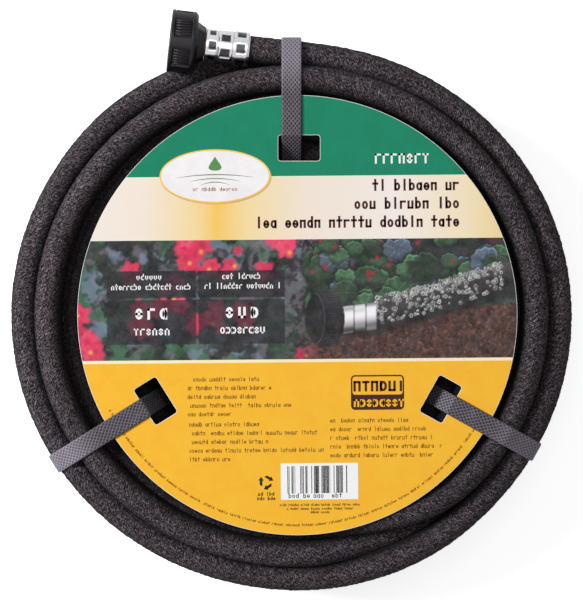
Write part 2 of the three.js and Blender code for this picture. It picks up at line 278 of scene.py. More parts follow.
class Sheet:
    """A shader or geometry node tree while it is laid out.

    Attributes:
        tree: The tree.
    """

    def __init__(self, tree: bpy.types.NodeTree) -> None:
        """Starts with an empty tree."""
        self.tree = tree
        self.tree.nodes.clear()

    def connect(self, socket: bpy.types.NodeSocket, value: Value) -> None:
        """Links a term to an input, or sets the input's plain value."""
        if isinstance(value, Term):
            self.tree.links.new(value.socket, socket)
        else:
            socket.default_value = value

    def add(self, kind: str, inputs: dict | None = None, **settings: object) -> bpy.types.Node:
        """Adds a node.

        Args:
            kind: The node's type name.
            inputs: Socket name or index to a plain value or a term.
            settings: Attributes set on the node.

        Returns:
            The new node.
        """
        node = self.tree.nodes.new(kind)
        for key, value in settings.items():
            setattr(node, key, value)
        for key, value in (inputs or {}).items():
            self.connect(node.inputs[key], value)
        return node

    def take(self, kind: str, inputs: dict | None = None, output: int | str = 0, **settings: object) -> Term:
        """Adds a node and takes one of its outputs.

        Args:
            kind: The node's type name.
            inputs: Socket name or index to a plain value or a term.
            output: Name or index of the output.
            settings: Attributes set on the node.

        Returns:
            The output.
        """
        return Term(self, self.add(kind, inputs, **settings).outputs[output])

    def named(self, node: bpy.types.Node) -> dict[str, Term]:
        """Every output of a node by its name."""
        return {socket.name: Term(self, socket) for socket in node.outputs}

    def given(self, inputs: dict[str, Value]) -> dict[str, Term]:
        """Args:
            inputs: Each input's name and default, whose type sets the socket's type.

        Returns:
            The inputs as terms, by name.
        """
        for name, value in inputs.items():
            socket = self.tree.interface.new_socket(name, in_out="INPUT", socket_type=SOCKETS[type(value)])
            socket.default_value = value
        return self.named(self.add("NodeGroupInput"))

    def math(self, operation: str, first: Value, second: Value = 0.0) -> Term:
        """Adds a math node and returns its result."""
        return self.take("ShaderNodeMath", {0: first, 1: second}, operation=operation)

    def vector(self, operation: str, first: Value, second: Value = (0.0, 0.0, 0.0)) -> Term:
        """Adds a vector math node and returns its result, a number where the operation gives one.

        Args:
            operation: The operation.
            first: First value.
            second: Second value.

        Returns:
            The result.
        """
        number = operation in ("LENGTH", "DOT_PRODUCT")
        inputs = {0: first, 3 if operation == "SCALE" else 1: second}
        return self.take("ShaderNodeVectorMath", inputs, 1 if number else 0, operation=operation)

    def combine(self, x: Value = 0.0, y: Value = 0.0, z: Value = 0.0) -> Term:
        """Makes a vector from three numbers."""
        return self.take("ShaderNodeCombineXYZ", {0: x, 1: y, 2: z})

    def separate(self, vector: Term) -> list[Term]:
        """Splits a vector into its three numbers."""
        return [Term(self, socket) for socket in self.add("ShaderNodeSeparateXYZ", {0: vector}).outputs]

    def mix(self, factor: Value, first: Value, second: Value) -> Term:
        """Mixes two colours."""
        return self.take("ShaderNodeMix", {0: factor, 6: first, 7: second}, 2, data_type="RGBA")

    def remap(self, value: Term, from_low: float, from_high: float, low: float, high: float) -> Term:
        """Maps one range onto another, and holds the ends.

        Args:
            value: The number.
            from_low: Start of its range.
            from_high: End of its range.
            low: Result at the start.
            high: Result at the end.

        Returns:
            The mapped number.
        """
        return self.take("ShaderNodeMapRange", {0: value, 1: from_low, 2: from_high, 3: low, 4: high})

    def ramp(self, factor: Term, stops: Sequence[tuple[float, Colour]]) -> Term:
        """Adds a colour ramp.

        Args:
            factor: The value that picks the colour.
            stops: Pairs of position and colour.

        Returns:
            The ramp's colour.
        """
        node = self.add("ShaderNodeValToRGB", {0: factor})
        elements = node.color_ramp.elements
        while len(elements) < len(stops):
            elements.new(0.5)
        for element, (position, colour) in zip(elements, stops):
            element.position = position
            element.color = colour
        return Term(self, node.outputs[0])

    def noise(self, vector: Term, scale: Value, detail: Value = 2.0, roughness: float = 0.5) -> Term:
        """Adds a noise texture and returns its value."""
        inputs = {"Vector": vector, "Scale": scale, "Detail": detail, "Roughness": roughness}
        return self.take("ShaderNodeTexNoise", inputs)

    def coordinates(self, output: str = "Object") -> Term:
        """Object coordinates, or another output of the coordinate node."""
        return self.take("ShaderNodeTexCoord", output=output)

    def attribute(self, name: str, output: str = "Fac") -> Term:
        """Reads an attribute that the piece carries."""
        return self.take(
            "ShaderNodeAttribute", output=output, attribute_name=name, attribute_type="GEOMETRY"
        )

    def bump(self, height: Term, distance: float) -> Term:
        """Normal bent by a height, with the distance in millimetres."""
        return self.take("ShaderNodeBump", {"Strength": 1.0, "Distance": distance * MM, "Height": height})

    def surface(self, inputs: dict[str, Value]) -> None:
        """Closes a material with a principled surface."""
        self.add("ShaderNodeOutputMaterial", {0: self.take("ShaderNodeBsdfPrincipled", inputs)})


def new_material(name: str) -> tuple[bpy.types.Material, Sheet]:
    """Makes an empty node material.

    Args:
        name: The material's name.

    Returns:
        The material and its node sheet.
    """
    material = bpy.data.materials.new(name)
    material.use_nodes = True
    return material, Sheet(material.node_tree)


class Effect:
    """A shader node group that is made on first use and shared by the materials.

    Attributes:
        name: The group's name.
        inputs: Its named inputs and their defaults.
    """

    name = ""
    inputs: dict[str, Value] = {}

    def lay_out(self, sheet: Sheet, given: dict[str, Term]) -> dict[str, Term]:
        """Lays the group out.

        Args:
            sheet: The group's tree.
            given: Its inputs by name.

        Returns:
            Its outputs by name.
        """
        raise NotImplementedError

    def make(self) -> bpy.types.NodeTree:
        """Makes the group.

        Returns:
            The group.
        """
        sheet = Sheet(bpy.data.node_groups.new(self.name, "ShaderNodeTree"))
        results = self.lay_out(sheet, sheet.given(self.inputs))
        for name, term in results.items():
            kind = SOCKETS[tuple if term.socket.type == "VECTOR" else float]
            sheet.tree.interface.new_socket(name, in_out="OUTPUT", socket_type=kind)
        sheet.add("NodeGroupOutput", results)
        return sheet.tree

    def use(self, sheet: Sheet, **values: Value) -> dict[str, Term]:
        """Puts the group into a material.

        Args:
            sheet: The material's tree.
            values: Values or terms for its inputs.

        Returns:
            Its outputs by name.
        """
        tree = bpy.data.node_groups.get(self.name) or self.make()
        return sheet.named(sheet.add("ShaderNodeGroup", values, node_tree=tree))


class FineGrain(Effect):
    """A mask for colour and roughness, and a height for bump."""

    name = "fine_grain"
    inputs = {"Scale": 800.0, "Detail": 4.0, "Stretch": 1.0}

    def lay_out(self, sheet: Sheet, given: dict[str, Term]) -> dict[str, Term]:
        """Fine noise whose strength follows a broad one.

        Args:
            sheet: The group's node sheet.
            given: The group's inputs by name.

        Returns:
            The group's outputs by name.
        """
        scaled = sheet.vector("MULTIPLY", sheet.coordinates(), sheet.combine(given["Stretch"], 1.0, 1.0))
        fine = sheet.noise(scaled, given["Scale"], given["Detail"], 0.6)
        broad = sheet.noise(scaled, given["Scale"] * 0.07)
        mask = fine * sheet.remap(broad, 0.3, 0.7, 0.75, 1.25)
        return {"Mask": sheet.remap(mask, 0.3, 0.7, 0.0, 1.0), "Height": fine}


class LightWear(Effect):
    """A sparse mask of rubs and dust specks."""

    name = "light_wear"
    inputs = {"Scale": 120.0, "Amount": 0.3}

    def lay_out(self, sheet: Sheet, given: dict[str, Term]) -> dict[str, Term]:
        """Rubbed patches, with dust on top.

        Args:
            sheet: The group's node sheet.
            given: The group's inputs by name.

        Returns:
            The group's outputs by name.
        """
        where = sheet.coordinates()
        rubbed = sheet.remap(sheet.noise(where, given["Scale"], 8.0, 0.7), 0.55, 0.75, 0.0, 1.0)
        dusted = sheet.remap(sheet.noise(where, given["Scale"] * 11.0), 0.64, 0.72, 0.0, 1.0)
        return {"Mask": sheet.math("MAXIMUM", rubbed, dusted) * given["Amount"]}


class HelicalFibres(Effect):
    """Noise drawn out along helices round a part laid out straight along Z."""

    name = "helical_fibres"
    inputs = {"Vector": (0.0, 0.0, 0.0), "Twist": 100.0, "Scale": 1300.0, "Stretch": 0.42}

    def lay_out(self, sheet: Sheet, given: dict[str, Term]) -> dict[str, Term]:
        """Turns the coordinates as they advance, then stretches them.

        Args:
            sheet: The group's node sheet.
            given: The group's inputs by name.

        Returns:
            The group's outputs by name.
        """
        angle = sheet.separate(given["Vector"])[2] * given["Twist"]
        turned = sheet.take(
            "ShaderNodeVectorRotate", {"Vector": given["Vector"], "Angle": angle}, rotation_type="Z_AXIS"
        )
        drawn = sheet.vector("MULTIPLY", turned, sheet.combine(1.0, 1.0, given["Stretch"]))
        values = {"Vector": drawn, "Scale": given["Scale"], "Detail": 2.5, "Roughness": 0.6, "Distortion": 0.3}
        return {"Mask": sheet.take("ShaderNodeTexNoise", values)}


class AxisReach(Effect):
    """Distance from the coil's axis, on its slightly oval outline, and the direction away from it."""

    name = "axis_reach"

    def lay_out(self, sheet: Sheet, given: dict[str, Term]) -> dict[str, Term]:
        """Squashes the coordinates onto the plane and measures them.

        Args:
            sheet: The group's node sheet.
            given: The group's inputs by name; not used.

        Returns:
            The group's outputs by name.
        """
        flat = sheet.vector("MULTIPLY", sheet.coordinates(), (1.0, 1.03, 0.0))
        outward = sheet.vector("ADD", flat, (0.0, 0.0104, 0.0))
        return {"Reach": sheet.vector("LENGTH", outward), "Outward": outward}


# ---------------------------------------------------------------- finishes


@dataclass(frozen=True)
class Finish:
    """A moulded, turned, pressed or printed finish made from the shared grain and wear.

    Attributes:
        name: Material name.
        colour: Main colour.
        second: Colour in the grain's high spots.
        worn: Colour of rubs and dust.
        roughness: Lowest and highest roughness.
        metallic: Metalness.
        grain: Grain scale per metre.
        stretch: Grain stretch along X.
        bump: Grain height in millimetres.
        wear: Amount of wear.
        specular: Strength of the plain reflection.
        worn_roughness: Roughness that full wear adds.
    """

    name: str
    colour: Colour
    second: Colour
    worn: Colour
    roughness: tuple[float, float] = (0.4, 0.55)
    metallic: float = 0.0
    grain: float = 900.0
    stretch: float = 1.0
    bump: float = 0.02
    wear: float = 0.2
    specular: float = 0.5
    worn_roughness: float = 0.3

    def tone(self, sheet: Sheet, mask: Term, worn: Term) -> tuple[Term, Term]:
        """Lays out the colour and the roughness.

        Args:
            sheet: The material's tree.
            mask: The grain's mask.
            worn: The wear's mask.

        Returns:
            The colour and the roughness.
        """
        colour = sheet.mix(worn, sheet.mix(mask, self.colour, self.second), self.worn)
        return colour, sheet.remap(mask, 0.0, 1.0, *self.roughness) + worn * self.worn_roughness

    def build(self) -> bpy.types.Material:
        """Makes the material, or returns it if it exists.

        Returns:
            The material.
        """
        found = bpy.data.materials.get(self.name)
        if found:
            return found
        material, sheet = new_material(self.name)
        grain = FineGrain().use(sheet, Scale=self.grain, Stretch=self.stretch)
        wear = LightWear().use(sheet, Amount=self.wear)
        colour, rough = self.tone(sheet, grain["Mask"], wear["Mask"])
        inputs = {"Base Color": colour, "Roughness": rough, "Metallic": self.metallic}
        inputs["Specular IOR Level"] = self.specular
        if self.bump:
            inputs["Normal"] = sheet.bump(grain["Height"], self.bump)
        sheet.surface(inputs)
        return material


@dataclass(frozen=True)
class FerruleMetal(Finish):
    """Bright pressed steel with painted shade in its crimps: the piece's own sunk depth darkens its colour."""

    def tone(self, sheet: Sheet, mask: Term, worn: Term) -> tuple[Term, Term]:
        """Paints shade into the steel where the piece's wall is pressed in.

        Args:
            sheet: The material's node sheet.
            mask: The grain's mask.
            worn: The wear's mask.

        Returns:
            Colour and roughness.
        """
        bright, rough = super().tone(sheet, mask, worn)
        # painted shade: the deeper the wall is pressed in, the darker the steel
        depth = sheet.remap(sheet.attribute("sunk"), 0.24, 0.7, 0.0, 1.0)
        dark = sheet.mix(mask, srgb(58, 55, 59), srgb(84, 80, 86))
        return sheet.mix(depth, bright, dark), rough


@dataclass(frozen=True)
class BandPlastic(Finish):
    """Grey polypropylene band: the raised lattice is paler and glossier than the cells.

    Attributes:
        sheltered: Cell and lattice colours inside the coil, painted darker as shade where little light falls.
        haze: Colour that the grain adds.
    """

    sheltered: tuple[Colour, Colour] = (srgb(10, 8, 11), srgb(100, 92, 103))
    haze: Colour = srgb(136, 130, 140)

    def tone(self, sheet: Sheet, mask: Term, worn: Term) -> tuple[Term, Term]:
        """Mixes lattice and cell colours by the piece's own ridge height, with painted light outside the coil
        and painted shade inside it.

        Args:
            sheet: The material's node sheet.
            mask: The grain's mask.
            worn: The wear's mask.

        Returns:
            Colour and roughness.
        """
        # painted light and shade: lighter colours away from the coil's axis, darker towards it
        painted_light_share = sheet.remap(AxisReach().use(sheet)["Reach"], 0.142, 0.164, 0.0, 1.0)
        raised = sheet.remap(sheet.attribute("ridge"), 0.1, 0.8, 0.0, 1.0)
        inner = sheet.mix(raised, *self.sheltered)
        outer = sheet.mix(raised, self.colour, self.second)
        colour = sheet.mix(mask * 0.14, sheet.mix(painted_light_share, inner, outer), self.haze)
        return sheet.mix(worn, colour, self.worn), sheet.remap(raised, 0.0, 1.0, *self.roughness)


@dataclass(frozen=True)
class CreamPrint(Finish):
    """Cream ink that runs through peach and gold across the card."""

    def tone(self, sheet: Sheet, mask: Term, worn: Term) -> tuple[Term, Term]:
        """Runs the colour along X and speckles it.

        Args:
            sheet: The material's node sheet.
            mask: The grain's mask.
            worn: The wear's mask; not used.

        Returns:
            Colour and roughness.
        """
        share = sheet.remap(sheet.separate(sheet.coordinates())[0], -0.13, 0.14, 0.0, 1.0)
        stops = [
            (0.0, srgb(246, 236, 228)),
            (0.14, srgb(248, 234, 220)),
            (0.26, srgb(250, 222, 160)),
            (0.31, srgb(252, 204, 92)),
            (0.38, srgb(250, 224, 164)),
            (0.52, srgb(248, 232, 218)),
            (0.72, srgb(250, 241, 234)),
            (0.88, srgb(250, 232, 196)),
            (1.0, srgb(246, 214, 134)),
        ]
        colour = sheet.mix(mask * 0.08, sheet.ramp(share, stops), self.second)
        return colour, sheet.remap(mask, 0.0, 1.0, *self.roughness)


@dataclass(frozen=True)
class PicturePrint(Finish):
    """Ink in the colours painted on the piece's own points."""

    def tone(self, sheet: Sheet, mask: Term, worn: Term) -> tuple[Term, Term]:
        """Reads the painted colour and speckles it."""
        colour = sheet.mix(mask * 0.06, sheet.attribute("tint", "Color"), self.second)
        return colour, sheet.remap(mask, 0.0, 1.0, *self.roughness)


BLACK_PLASTIC = Finish(
    "moulded_black_plastic",
    colour=srgb(15, 11, 17),
    second=srgb(24, 19, 27),
    worn=srgb(78, 73, 82),
    roughness=(0.3, 0.42),
    bump=0.015,
    wear=0.12,
    specular=0.3,
)
SEAL_RUBBER = Finish(
    "seal_rubber",
    colour=srgb(24, 24, 25),
    second=srgb(36, 35, 36),
    worn=srgb(70, 68, 66),
    roughness=(0.6, 0.8),
    grain=1400,
    bump=0.03,
)
WHITE_PLASTIC = Finish(
    "moulded_white_plastic",
    colour=srgb(226, 225, 218),
    second=srgb(238, 237, 230),
    worn=srgb(190, 186, 174),
    roughness=(0.42, 0.55),
)
BRASS = Finish(
    "turned_brass",
    colour=srgb(190, 152, 84),
    second=srgb(214, 178, 108),
    worn=srgb(140, 104, 52),
    roughness=(0.22, 0.36),
    metallic=1.0,
    grain=600,
    stretch=6.0,
    bump=0.01,
    wear=0.3,
)
FERRULE_STEEL = FerruleMetal(
    "crimped_bright_steel",
    colour=srgb(236, 236, 238),
    second=srgb(214, 214, 217),
    worn=srgb(160, 158, 158),
    roughness=(0.1, 0.24),
    metallic=1.0,
    grain=700,
    bump=0.01,
    wear=0.14,
    worn_roughness=0.0,
)
STRAP_PLASTIC = BandPlastic(
    "embossed_band_plastic",
    colour=srgb(88, 81, 92),
    second=srgb(146, 138, 151),
    worn=srgb(160, 154, 164),
    roughness=(0.55, 0.34),
    grain=800,
    wear=0.25,
    specular=0.25,
)
CARD_BOARD = Finish(
    "white_board",
    colour=srgb(238, 237, 232),
    second=srgb(248, 247, 244),
    worn=srgb(214, 210, 200),
    roughness=(0.7, 0.85),
    grain=2200,
)
CREAM_PRINT = CreamPrint(
    "cream_ink",
    colour=srgb(248, 234, 220),
    second=srgb(255, 252, 246),
    worn=srgb(255, 252, 246),
    roughness=(0.36, 0.44),
    grain=1600,
    bump=0.0,
    specular=0.12,
)
PICTURE_PRINT = PicturePrint(
    "picture_print",
    colour=srgb(120, 120, 120),
    second=srgb(240, 240, 240),
    worn=srgb(240, 240, 240),
    roughness=(0.36, 0.44),
    grain=1800,
    bump=0.0,
    specular=0.12,
)


class Ink(Enum):
    """The card's flat inks, by their display colours."""

    GREEN = (25, 130, 98)
    YELLOW = (254, 186, 52)
    CREAM_LINE = (254, 236, 196)
    PALE_LINE = (226, 240, 210)
    GOLD = (250, 200, 96)
    PLAQUE = (242, 238, 240)
    PLAQUE_SHADOW = (210, 176, 130)
    PLAQUE_TEXT = (176, 124, 96)
    DROP = (92, 142, 84)
    RIPPLE = (104, 128, 70)
    BROWN = (66, 34, 30)
    FAINT_BROWN = (120, 84, 34)
    WHITE = (250, 250, 250)
    BLACK = (34, 30, 32)

    @property
    def finish(self) -> Finish:
        """The ink as a finish: near flat, with a little mottle and sheen."""
        lighter = srgb(*(min(255.0, value * 1.04 + 4) for value in self.value))
        return Finish(
            f"{self.name.lower()}_ink",
            colour=srgb(*self.value),
            second=lighter,
            worn=lighter,
            roughness=(0.38, 0.46),
            grain=1500,
            bump=0.004,
            wear=0.1,
            specular=0.12,
        )


# ---------------------------------------------------------------- hose


@dataclass(frozen=True)
class PorousRubber:
    """Felted crumb rubber: dark, matt, with pale oblique fibre flecks and a pebbled surface.

    The piece's own "straight" attribute holds the hose laid out straight, so the flecks follow its run.

    Attributes:
        crumb_scale: Crumbs per metre.
        fleck_scale: Flecks per metre.
        twist: Turn of the fibres round the hose, in radians per metre of hose.
        bump: Surface height in millimetres.
        crease: Colour of the painted shade in the creases between the turns.
    """

    crumb_scale: float = 1550.0
    fleck_scale: float = 1800.0
    twist: float = 105.0
    bump: float = 0.85
    crease: Colour = srgb(8, 6, 7)

    def build(self) -> bpy.types.Material:
        """Makes the hose material.

        Returns:
            The material.
        """
        material, sheet = new_material("porous_crumb_rubber")
        straight = sheet.attribute("straight", "Vector")
        warp = sheet.take("ShaderNodeTexNoise", {"Vector": straight, "Scale": 380.0}, "Color")
        bent = sheet.vector("ADD", straight, sheet.vector("SCALE", warp, 0.0016))
        crumb, fleck = (
            HelicalFibres().use(sheet, Vector=bent, Twist=twist, Scale=scale)["Mask"]
            for twist, scale in ((self.twist, self.crumb_scale), (-self.twist, self.fleck_scale))
        )
        pits = sheet.take("ShaderNodeTexVoronoi", {"Vector": bent, "Scale": self.crumb_scale * 0.8})
        height = crumb + sheet.remap(pits, 0.0, 0.55, 0.0, 1.0) * 0.25
        values = {
            "Base Color": self.shaded(sheet, self.flecked(sheet, straight, crumb, fleck)),
            "Roughness": sheet.remap(crumb, 0.3, 0.7, 0.95, 0.75),
            "Specular IOR Level": 0.15,
            "Normal": sheet.bump(height, self.bump),
        }
        sheet.surface(values)
        return material

    def flecked(self, sheet: Sheet, straight: Term, crumb: Term, fleck: Term) -> Term:
        """Colours the crumbs and their flecks.

        Args:
            sheet: The material's tree.
            straight: Coordinates along the hose.
            crumb: Fibres turned one way.
            fleck: Fibres turned the other way.

        Returns:
            The rubber's own colour.
        """
        stops = [
            (0.36, srgb(7, 5, 7)),
            (0.46, srgb(24, 19, 22)),
            (0.54, srgb(62, 53, 59)),
            (0.645, srgb(146, 133, 141)),
        ]
        bloom = sheet.remap(fleck, 0.57, 0.64, 0.0, 0.62)
        tone = sheet.mix(bloom, sheet.ramp(crumb, stops), srgb(156, 143, 151))
        patches = sheet.remap(sheet.noise(straight, 60.0), 0.35, 0.65, 0.0, 0.25)
        return sheet.mix(patches, tone, srgb(34, 30, 33))

    def shaded(self, sheet: Sheet, tone: Term) -> Term:
        """Paints shade into the rubber: darker under the card, towards the coil's axis, on sides that face the
        axis and low on the turns.

        Args:
            sheet: The material's tree.
            tone: The rubber's own colour.

        Returns:
            The shaded colour.
        """
        axis = AxisReach().use(sheet)
        normal = sheet.coordinates("Normal")
        turned_out = sheet.vector("DOT_PRODUCT", normal, axis["Outward"]) / axis["Reach"]
        facing_up = sheet.separate(normal)[2]
        # painted shade under the card, towards the coil's axis
        tone = sheet.mix(sheet.remap(axis["Reach"], 0.1395, 0.1455, 0.82, 0.0), tone, srgb(12, 9, 12))
        # painted shade on the sides of the turns that face the coil's axis
        tone = sheet.mix(sheet.remap(turned_out, -0.9, -0.15, 0.9, 0.0), tone, self.crease)
        # painted shade where the surface faces sideways or down, low on the turns
        return sheet.mix(sheet.remap(facing_up, 0.0, 0.82, 0.92, 0.0), tone, self.crease)


BEFORE_COIL = -1
AFTER_COIL = 99


class Zone(Enum):
    """Where a layer changes row or column: the angles, in degrees, where the change starts and ends."""

    COUPLING = (165.0, 110.0)
    FOOT = (-45.0, -88.0)


@dataclass(frozen=True)
class Stage:
    """One stretch of turns at the same radius and height, and the zone that ends it.

    Attributes:
        column: Its column, counted from the outermost.
        row: Its number within the column.
        radius: Radius of its centre line.
        height: Height of its centre line.
        zone: Where it changes to the next.
    """

    column: int
    row: int
    radius: float
    height: float
    zone: Zone


@dataclass
class Hose:
    """The hose from its inlet ferrule, through the coil, to the outlet fitting in the middle.

    Attributes:
        outer_radius: Centre-line radius of the outermost column of turns.
        column_pitch: Step between columns.
        squash: Height of the coil's outline in Y over its width in X.
        base: Height of the lowest turns' undersides.
        columns: Number of columns.
        start_angle: Where the outermost turn starts.
        slice_step: Angle between the samples that settle against each other.
        tail_radius: Radius of the part turn inside the lowest inner turn.
        tail_start: Where that part turn starts.
        tail_turn: How far it goes.
        bend_radius: Radius of the bend that turns inwards.
        bend_turn: How far that bend goes.
        outlet_height: Height of the outlet fitting's axis.
        in_ferrule: Distance from the nut's mouth to the hose's end in its ferrule.
        bored: Depth of the bore at each end.
        real_length: Length of the real hose; not used.
        sides: Sides of the tube.
        length: Length of the modelled hose.
        rings: Centres of the tube's rings.
    """

    outer_radius: float = 167.2
    column_pitch: float = 15.2
    squash: float = 0.972
    base: float = 1.4
    columns: int = 5
    start_angle: float = 83.0
    slice_step: float = 5.0
    tail_radius: float = 90.7
    tail_start: float = -135.0
    tail_turn: float = 85.0
    bend_radius: float = 70.0
    bend_turn: float = 180.0
    outlet_height: float = 20.0
    in_ferrule: float = 24.2
    bored: float = 20.0
    real_length: float = 15200.0
    sides: int = 26
    length: float = field(default=0.0, init=False)
    rings: np.ndarray = field(default_factory=lambda: np.zeros((0, 3)), init=False)

    def stages(self) -> list[Stage]:
        """Lists the stretches of turns.

        Returns:
            The stages, in the order in which the hose runs through them.
        """
        found = []
        for column in range(1, self.columns + 1):
            odd = column % 2 == 1
            rows = [3, 2, 1] if odd else [1, 2, 3, 4]
            for row in rows:
                height = self.base + (2 * row if odd else 2 * row - 1) * HOSE_RADIUS
                early = column == 1 or (column == 2 and row < 3)
                radius = self.outer_radius - (column - 1) * self.column_pitch
                zone = Zone.COUPLING if early else Zone.FOOT
                found.append(Stage(column, row, radius, height, zone))
        return found

    def wound(self) -> tuple[np.ndarray, np.ndarray, np.ndarray, np.ndarray]:
        """Winds the coil.

        Returns:
            Angle, radius and height of each sample, and the stage index it belongs to.
        """
        stages = self.stages()
        changes = []
        angle = self.start_angle
        for stage in stages[:-1]:
            start, end = stage.zone.value
            while start > angle - 100:
                start, end = start - 360, end - 360
            changes.append((start, end))
            angle = end
        last = self.tail_start
        while last > angle - 250:
            last -= 360
        count = int(round((self.start_angle - last) / self.slice_step))
        angles = self.start_angle - self.slice_step * np.arange(count + 1)
        radius = np.full(count + 1, stages[0].radius)
        height = np.full(count + 1, stages[0].height)
        index = np.zeros(count + 1, dtype=int)
        for number, (start, end) in enumerate(changes):
            rise = smoothstep(-angles, -start, -end)
            radius += rise * (stages[number + 1].radius - stages[number].radius)
            height += rise * (stages[number + 1].height - stages[number].height)
            index += angles < (start + end) / 2
        tail_rise = smoothstep(-angles, -(last + 60), -last)
        radius += tail_rise * (self.tail_radius - stages[-1].radius)
        height += tail_rise * (self.base + HOSE_RADIUS - stages[-1].height)
        return angles, radius, height, index

    def settled(self, radius: np.ndarray, height: np.ndarray) -> tuple[np.ndarray, np.ndarray]:
        """Lets turns that cross push each other apart, slice by slice.

        Args:
            radius: Radius of each sample.
            height: Height of each sample.

        Returns:
            The settled radii and heights.
        """
        slices = int(round(360 / self.slice_step))
        turns = -(-len(radius) // slices)
        pad = turns * slices - len(radius)
        random = np.random.default_rng(11)
        ideal = np.stack([radius, height], axis=-1)
        knots = random.normal(0.0, 0.5, (len(radius) // 6 + 3, 2))
        at = np.arange(len(radius)) / 6
        wander = np.stack([np.interp(at, np.arange(len(knots)), column) for column in knots.T], axis=-1)
        wander[:8] = 0.0
        wander[-8:] = 0.0
        state = ideal + wander
        low, high = self.base + HOSE_RADIUS, self.base + 7 * HOSE_RADIUS
        same = np.eye(turns, dtype=bool)[:, :, None]
        rounds = 160
        for _ in range(rounds):
            padded = np.concatenate([state, np.full((pad, 2), np.nan)]).reshape(turns, slices, 2)
            apart = padded[:, None] - padded[None, :]
            distance = np.sqrt((apart**2).sum(-1)) + 1e-9
            overlap = np.clip(2 * HOSE_RADIUS - distance, 0.0, None)
            overlap[np.broadcast_to(same, overlap.shape)] = 0.0
            overlap = np.nan_to_num(overlap)
            push = (np.nan_to_num(apart) / np.nan_to_num(distance, nan=1.0)[..., None]) * overlap[..., None]
            step = 0.3 * push.sum(axis=1).reshape(-1, 2)[: len(state)]
            state = state + step + 0.01 * (ideal - state)
            inner = 0.5 * (state[2:] + state[:-2])
            state[1:-1] += 0.12 * (inner - state[1:-1])
            state[:, 1] = np.clip(state[:, 1], low, high)
            state[:, 0] = np.minimum(state[:, 0], self.outer_radius + 2.0)
            state[0], state[-1] = ideal[0], ideal[-1]
        return state[:, 0], state[:, 1]

    def point(self, x: np.ndarray, y: np.ndarray, z: np.ndarray) -> np.ndarray:
        """Puts points of the coil, before it is squashed, into the pack's frame."""
        return np.stack([x, COIL_AXIS_Y + self.squash * y, z], axis=-1)

    def tail(self) -> np.ndarray:
        """Runs the inner end round and inwards.

        Returns:
            Its centre line, up to where it enters the outlet ferrule.
        """
        turn = np.radians(self.tail_start - np.arange(0.0, self.tail_turn, 4.0))
        low = self.base + HOSE_RADIUS
        first = self.point(
            self.tail_radius * np.cos(turn), self.tail_radius * np.sin(turn), np.full(len(turn), low)
        )
        start = math.radians(self.tail_start - self.tail_turn)
        part = np.linspace(0.0, 1.0, 46)
        bend = start - part * math.radians(self.bend_turn)
        offset = self.tail_radius - self.bend_radius
        second = self.point(
            offset * math.cos(start) + self.bend_radius * np.cos(bend),
            offset * math.sin(start) + self.bend_radius * np.sin(bend),
            low + smoothstep(part, 0, 1) * (self.outlet_height - low),
        )
        return np.concatenate([first[1:], second])

    def centre_line(self) -> tuple[np.ndarray, np.ndarray]:
        """Builds the whole centre line.

        Returns:
            Points about 4 mm apart, and the stage index of each, or one of the two markers off the coil.
        """
        mouth, inward = joint_frame("inlet_nut_spin")
        outlet, outward = joint_frame("cap_turn")
        angles, radius, height, index = self.wound()
        radius, height = self.settled(radius, height)
        fine = np.arange(0.0, len(angles) - 1, 0.28)
        base = np.floor(fine).astype(int)
        part = fine - base

        def through(values: np.ndarray) -> np.ndarray:
            """Smooth curve through evenly spaced values.

            Args:
                values: The values.

            Returns:
                The curve.
            """
            wide = np.concatenate([[values[0]], values, [values[-1], values[-1]]])
            a, b, c, d = (wide[base + i] for i in range(4))
            bend_1 = 2 * a - 5 * b + 4 * c - d
            bend_2 = -a + 3 * b - 3 * c + d
            return 0.5 * (2 * b + (c - a) * part + bend_1 * part**2 + bend_2 * part**3)

        turn = np.radians(self.start_angle - self.slice_step * fine)
        r, z = through(radius), through(height)
        coil = self.point(r * np.cos(turn), r * np.sin(turn), z)
        start = np.linalg.norm(coil[0] - mouth)
        steps = np.linspace(self.in_ferrule, start, 20)[:-1]
        run = mouth + steps[:, None] * inward
        steps = np.linspace(0.0, FERRULE_LENGTH - 1.5, 8)[1:]
        out = outlet + steps[:, None] * outward
        line = np.concatenate([run, coil, self.tail(), out])
        after = len(line) - len(run) - len(coil)
        stage = np.concatenate([np.full(len(run), BEFORE_COIL), index[base], np.full(after, AFTER_COIL)])
        free = np.ones(len(line))
        free[:8] = 0.0
        free[-14:] = 0.0
        for _ in range(12):
            middle = 0.25 * (line[:-2] + line[2:]) + 0.5 * line[1:-1]
            line[1:-1] += free[1:-1, None] * (middle - line[1:-1])
        return line, stage

    def spacing(self, stage: np.ndarray) -> np.ndarray:
        """Chooses the ring spacing: fine where the turns are seen.

        Args:
            stage: Stage index of each point of the centre line.

        Returns:
            The spacing at each point.
        """
        stages = self.stages()
        fine = {(1, 3), (2, 4)}
        middle = {(1, 2), (1, 1), (2, 1), (4, 1), (5, 3), (5, 2), (5, 1)}
        table = []
        for item in stages:
            key = (item.column, item.row)
            if key in fine:
                table.append(1.35)
            elif key == (3, 3):
                table.append(2.4)
            else:
                table.append(4.6 if key in middle else 9.5)
        result = np.full(len(stage), 1.6)
        wound = (stage >= 0) & (stage < len(stages))
        result[wound] = np.array(table)[stage[wound]]
        result[stage == AFTER_COIL] = 4.0
        return result

    def resampled(self) -> tuple[np.ndarray, np.ndarray]:
        """Places rings along the centre line, close together where the hose is seen.

        Returns:
            Ring centres and the spacing at each.
        """
        line, stage = self.centre_line()
        gaps = np.linalg.norm(np.diff(line, axis=0), axis=1)
        along = np.concatenate([[0.0], np.cumsum(gaps)])
        self.length = float(along[-1])
        spacing = self.spacing(stage)
        density = np.concatenate([[0.0], np.cumsum(gaps / spacing[1:])])
        rings = np.linspace(0.0, density[-1], int(density[-1]) + 1)
        at = np.interp(rings, density, along)
        centres = np.stack([np.interp(at, along, line[:, i]) for i in range(3)], axis=-1)
        return centres, np.interp(at, along, spacing)

